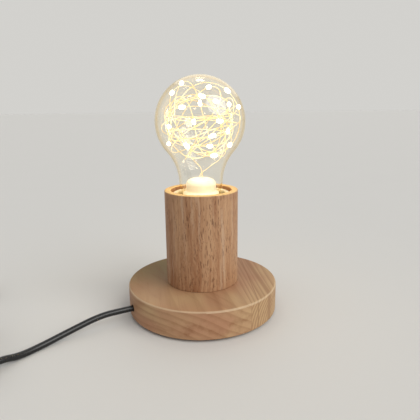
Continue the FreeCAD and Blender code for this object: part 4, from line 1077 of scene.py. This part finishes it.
@dataclass
class Bulb:
    """The screw-in bulb, with the wire of lights wound inside its globe, in millimetres."""

    shop: Workshop
    parts: tuple[str, ...] = (
        "bulb_glass", "bulb_cap_shell", "bulb_cap_insulator", "bulb_contact", "bulb_stopper",
        "driver_board", "driver_capacitor", "driver_parts", "driver_leads",
    )
    globe_height: float = 130.5
    stopper_top: float = 93.6
    wire_radius: float = 0.23
    loops: int = 18
    points_per_loop: int = 36
    reach: float = 24.4
    reach_swing: Swing = Swing(2.7, 0.83, 3.494)
    advance: float = -61.0
    advance_swing: Swing = Swing(35.0, 1.31, 1.509)
    tilt: float = 34.0
    tilt_swing: Swing = Swing(30.0, 0.61, 4.658)
    slide_swing: Swing = Swing(20.0, 0.47, 4.237)
    rise: tuple[Triple, ...] = (
        (-0.9, 0.0, 0.0), (-0.9, 0.0, 2.0), (2.5, -1.6, 5.0), (8.0, -4.0, 9.5), (14.5, -6.5, 14.0),
    )
    fall: tuple[Triple, ...] = (
        (-9.0, -4.0, 17.0), (-5.0, -2.0, 12.5), (0.4, -0.5, 7.0), (0.9, 0.0, 2.0), (0.9, 0.0, 0.0),
    )
    drop_radius: float = 1.3
    drop_length: float = 4.4
    drop_fullness: float = 0.75
    drop_rings: int = 9
    drop_sides: int = 14

    def build(self) -> None:
        """Dress the bulb's nodes, wind the wire and set its lights."""
        self.shop.dress(self.parts)
        wire = smooth_curve("light_wire", self.wire_line(), self.wire_radius, 2, 3)
        self.shop.add(wire, Body.BULB, "wire_copper", "fairy_wire")
        self.shop.add(self.lights(), Body.BULB, "light_warm", "fairy_lights")

    def loop_point(self, turns: float) -> Vector:
        """Find a point on the winding, whose loops swing to and fro as they go round.

        Args:
            turns: How many loops from its start.

        Returns:
            The point.
        """
        reach = self.reach + self.reach_swing.at(turns)
        bearing = self.advance * turns + self.advance_swing.at(turns)
        tilt = math.radians(self.tilt + self.tilt_swing.at(turns))
        slide = math.radians(self.slide_swing.at(turns))
        first = heading(bearing)
        normal = heading(bearing - 90.0) * math.sin(tilt) + Vector((0.0, 0.0, math.cos(tilt)))
        phase = 2.0 * math.pi * turns
        ring = first * math.cos(phase) + normal.cross(first) * math.sin(phase)
        way = normal * math.sin(slide) + ring * math.cos(slide)
        return Vector((0.0, 0.0, self.globe_height)) + way * reach

    def wire_line(self) -> list[Vector]:
        """List the wire's control points, from the stopper through all loops and back to it.

        Returns:
            The points.
        """
        foot = Vector((0.0, 0.0, self.stopper_top))
        count = self.loops * self.points_per_loop
        loops = [self.loop_point(self.loops * i / count) for i in range(count)]
        rise, fall = ([foot + Vector(p) for p in way] for way in (self.rise, self.fall))
        return rise + loops + fall

    def lights(self) -> Object:
        """Set drop-shaped lights along the wire.

        Returns:
            One mesh that holds them all.
        """
        shape = bmesh.new()
        for turns in LIGHT_TURNS:
            ahead = self.loop_point(turns + 0.01) - self.loop_point(turns - 0.01)
            self.add_drop(shape, self.loop_point(turns), ahead.normalized())
        return mesh_piece("small_lights", shape)

    def add_drop(self, shape: bmesh.types.BMesh, middle: Vector, way: Vector) -> None:
        """Add one resin drop, drawn out along the wire.

        Args:
            shape: The bmesh that takes it.
            middle: Its middle.
            way: The way that the wire runs there.
        """
        turn = way.to_track_quat("Z", "Y").to_matrix()

        def corner(radius: float, around: float, height: float) -> bmesh.types.BMVert:
            """Return a new corner at a place given round the wire."""
            spot = Vector((radius * math.cos(around), radius * math.sin(around), height))
            return shape.verts.new((middle + turn @ spot) * MM)

        half = self.drop_length / 2.0
        rows = []
        for i in range(1, self.drop_rings):
            angle = math.pi * i / self.drop_rings
            radius = self.drop_radius * math.sin(angle) ** self.drop_fullness
            turns = [2.0 * math.pi * j / self.drop_sides for j in range(self.drop_sides)]
            rows.append([corner(radius, around, -math.cos(angle) * half) for around in turns])
        low, high = corner(0.0, 0.0, -half), corner(0.0, 0.0, half)
        for j in range(self.drop_sides):
            k = (j + 1) % self.drop_sides
            shape.faces.new((low, rows[0][k], rows[0][j]))
            shape.faces.new((high, rows[-1][j], rows[-1][k]))
        skin(shape, rows)


@dataclass
class CordSet:
    """The cord outside the lamp, with its switch, put-away coil and plug, in millimetres."""

    shop: Workshop
    switch: tuple[str, ...] = (
        "switch_base", "switch_cover", "switch_screws", "switch_pin", "switch_rocker",
        "switch_contacts",
    )
    plug: tuple[str, ...] = ("plug_body", "plug_pins", "plug_relief")
    radius: float = 2.0
    bearing: float = 205.5
    hole_height: float = 9.3
    base_radius: float = 52.0
    straight_out: float = 8.0
    near_stops: tuple[Triple, ...] = (
        (-66.5, -31.6, 8.9), (-82.0, -41.8, 5.0), (-96.0, -53.6, 2.0), (-105.6, -65.0, 2.0),
    )
    switch_start: Pair = (-116.2, -77.6)
    switch_way: float = 229.0
    switch_length: float = 48.0
    switch_axis: float = 5.0
    lead_in: float = 7.0
    lead_out: float = 2.5
    climb: Triple = (5.2, 7.2, 10.2)
    approach: tuple[Triple, ...] = ((-0.4, -31.0, -2.65), (0.0, -16.0, 0.0), (0.0, -4.0, 0.0))
    coil_middle: Pair = (-158.6, -64.4)
    coil_inner: float = 17.5
    coil_pitch: float = 4.65
    coil_lift: float = 1.0
    layer_turns: float = 2.52
    layers: int = 4
    points_per_turn: int = 24
    plug_start: Triple = (-177.8, -29.5, 6.9)
    tie_way: float = 60.0
    tie_gap: float = 0.45
    tie_inner_gap: float = 1.05
    tie_bottom: float = 0.35
    tie_bend: float = 2.2
    tie_step: float = 1.6
    strap: Pair = (3.4, 0.34)
    lap: Pair = (2.9, 0.27)
    lap_lift: float = 0.62
    lap_reach: float = 4.0
    bend_steps: int = 8

    def build(self) -> None:
        """Lay the two stretches of cord, and dress the switch, the tie and the plug."""
        self.shop.dress([*self.switch, *self.plug])
        near = self.near_line()
        flex = smooth_curve("lamp_flex", near, self.radius)
        self.shop.add(flex, Body.LAMP, "cord_black", "cord_to_switch")
        tuple(near[0] * MM)
        self.shop.nodes(self.switch)
        tie = self.shop.add(self.tie(), Body.LAMP, "tie_black", "cord_tie")
        far = self.far_line()
        lead = smooth_curve("plug_flex", far, self.radius)
        self.shop.add(lead, Body.LAMP, "cord_black", "cord_to_coil", "cord_coil", "cord_to_plug")
        tuple(far[0] * MM)
        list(self.shop.nodes(self.plug))

    def tie(self) -> Object:
        """Wrap a soft strap round the bundle of turns, with its loose end lapped on top of itself.

        Returns:
            The strap.
        """
        low = self.coil_inner - self.radius - self.tie_inner_gap
        width = self.coil_pitch * self.layer_turns
        high = self.coil_inner + width + self.radius + self.tie_gap
        height = 2.0 * self.radius + self.coil_pitch * (self.layers - 1)
        top = self.coil_lift + height + self.tie_gap
        around = self.strap_line(low, high, top)
        start = (low + high) / 2.0 - self.lap_reach
        lap = [(x, z + self.lap_lift) for x, z in around if z > top - 1.2 and x > start]
        shape = bmesh.new()
        self.add_strap(shape, around, self.strap, True)
        self.add_strap(shape, lap, self.lap, False)
        return mesh_piece("bundle_tie", shape)

    def strap_line(self, low: float, high: float, top: float) -> list[Pair]:
        """List the strap's middle line as a rounded frame, seen along the cord.

        Args:
            low: Its innermost distance from the coil's middle.
            high: Its outermost.
            top: Its highest height.

        Returns:
            Pairs of distance and height.
        """
        line: list[Pair] = []
        bend = self.tie_bend
        right, left, foot, head = high - bend, low + bend, self.tie_bottom + bend, top - bend
        corners = ((right, foot), (right, head), (left, head), (left, foot))
        for (x, z), start in zip(corners, (-90.0, 0.0, 90.0, 180.0)):
            for step in range(self.bend_steps + 1):
                turn = math.radians(start + 90.0 * step / self.bend_steps)
                line.append((x + bend * math.cos(turn), z + bend * math.sin(turn)))
        spaced: list[Pair] = []
        for (x, z), (next_x, next_z) in zip(line, [*line[1:], line[0]]):
            dx, dz = next_x - x, next_z - z
            parts = max(1, round(math.hypot(dx, dz) / self.tie_step))
            spaced += [(x + dx * i / parts, z + dz * i / parts) for i in range(parts)]
        return spaced

    def add_strap(
        self, shape: bmesh.types.BMesh, line: Sequence[Pair], size: Pair, closed: bool
    ) -> None:
        """Add a flat strap with soft edges along a line.

        Args:
            shape: The bmesh that takes it.
            line: Pairs of distance from the coil's middle and height.
            size: Half its width and half its thickness.
            closed: Whether it joins up with itself.
        """
        out = heading(self.tie_way)
        side = heading(self.tie_way + 90.0)
        quarter = ((0.97, -1.0), (1.0, -0.4), (1.0, 0.4), (0.97, 1.0))
        section = [(a * size[0], b * size[1]) for a, b in quarter]
        section += [(-a, -b) for a, b in section]
        rows = []
        for i, (x, z) in enumerate(line):
            before = line[i - 1] if closed or i else line[i]
            after = line[(i + 1) % len(line)] if closed or i + 1 < len(line) else line[i]
            way = Vector((after[0] - before[0], after[1] - before[1])).normalized()
            row = []
            for across, off in section:
                spot = Vector((*self.coil_middle, z - way.x * off))
                spot += out * (x + way.y * off) + side * across
                row.append(shape.verts.new(spot * MM))
            rows.append(row)
        if closed:
            rows.append(rows[0])
        else:
            shape.faces.new(rows[0])
            shape.faces.new(list(reversed(rows[-1])))
        skin(shape, rows)
        bmesh.ops.recalc_face_normals(shape, faces=shape.faces)

    def switch_point(self, distance: float) -> Vector:
        """Return a point on the switch's own line."""
        start = Vector((*self.switch_start, self.switch_axis))
        return start + heading(self.switch_way) * distance

    def near_line(self) -> list[Vector]:
        """List the route from the drilled hole down to the table and out to the switch.

        Returns:
            Its control points.
        """
        out = heading(self.bearing)
        mouth = out * self.base_radius + Vector((0.0, 0.0, self.hole_height))
        stops = [Vector(stop) for stop in self.near_stops]
        line = [mouth, mouth + out * self.straight_out, *stops]
        return [*line, self.switch_point(-self.lead_in), self.switch_point(0.0)]

    def coil_point(self, turns: float) -> Vector:
        """Find a point on the coil, which winds clockwise from its top layer down.

        Args:
            turns: How many turns from its start.

        Returns:
            The point.
        """
        layer = turns / self.layer_turns
        part = layer - 2.0 * math.floor(layer / 2.0)
        inwards = part if part <= 1.0 else 2.0 - part
        reach = self.coil_inner + self.coil_pitch * self.layer_turns * (1.0 - inwards)
        height = self.coil_lift + self.radius + self.coil_pitch * (self.layers - 1)
        for reversal in range(1, self.layers):
            share = min(max((turns - reversal * self.layer_turns) * 2.0 + 0.5, 0.0), 1.0)
            height -= self.coil_pitch * (3.0 * share**2 - 2.0 * share**3)
        return Vector((*self.coil_middle, height)) + heading(180.0 - 360.0 * turns) * reach

    def sweep(self, begin: Vector, across: float, heights: Sequence[float]) -> list[Vector]:
        """List the wide turn that brings the cord round from the switch towards the coil.

        Args:
            begin: Where it starts, on the switch's line.
            across: Where it ends, along X.
            heights: The height of each of its control points.

        Returns:
            Its control points.
        """
        radius = (begin.x - across) / (1.0 + math.sin(math.radians(self.switch_way - 180.0)))
        middle = begin + heading(self.switch_way - 90.0) * radius
        first = self.switch_way - 270.0
        span = (-180.0 - first) / len(heights)
        corner = radius / math.cos(math.radians(span / 2.0))
        spots = [middle + heading(first + (i + 0.5) * span) * corner for i in range(len(heights))]
        return [Vector((spot.x, spot.y, height)) for spot, height in zip(spots, heights)]

    def far_line(self) -> list[Vector]:
        """List the route from the switch round to the coil, through its turns, and to the plug.

        Returns:
            Its control points.
        """
        leave = self.switch_point(self.switch_length)
        begin = self.switch_point(self.switch_length + self.lead_out)
        start = self.coil_point(0.0)
        line = [leave, *self.sweep(begin, start.x, (leave.z, *self.climb))]
        line += [start + Vector(step) for step in self.approach]
        total = self.layer_turns * self.layers
        count = round(total * self.points_per_turn)
        line += [self.coil_point(total * i / count) for i in range(count + 1)]
        last = line[-1]
        way = (last - line[-2]).normalized()
        way.z = 0.0
        end = last + way.normalized() * 4.0
        entry = Vector(self.plug_start)
        return [*line, end, end + way * 5.5, entry - Vector((0.0, 6.0, 0.0)), entry]


def main() -> None:
    """Load the frame, build the scene and report each piece."""
    logging.basicConfig(level=logging.INFO, format="%(message)s")
    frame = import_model()
    shop = Workshop(frame)
    Studio().build()
    for part in (CordSet(shop), Stand(shop), Holder(shop), Bulb(shop)):
        part.build()


if __name__ == "__main__":
    main()
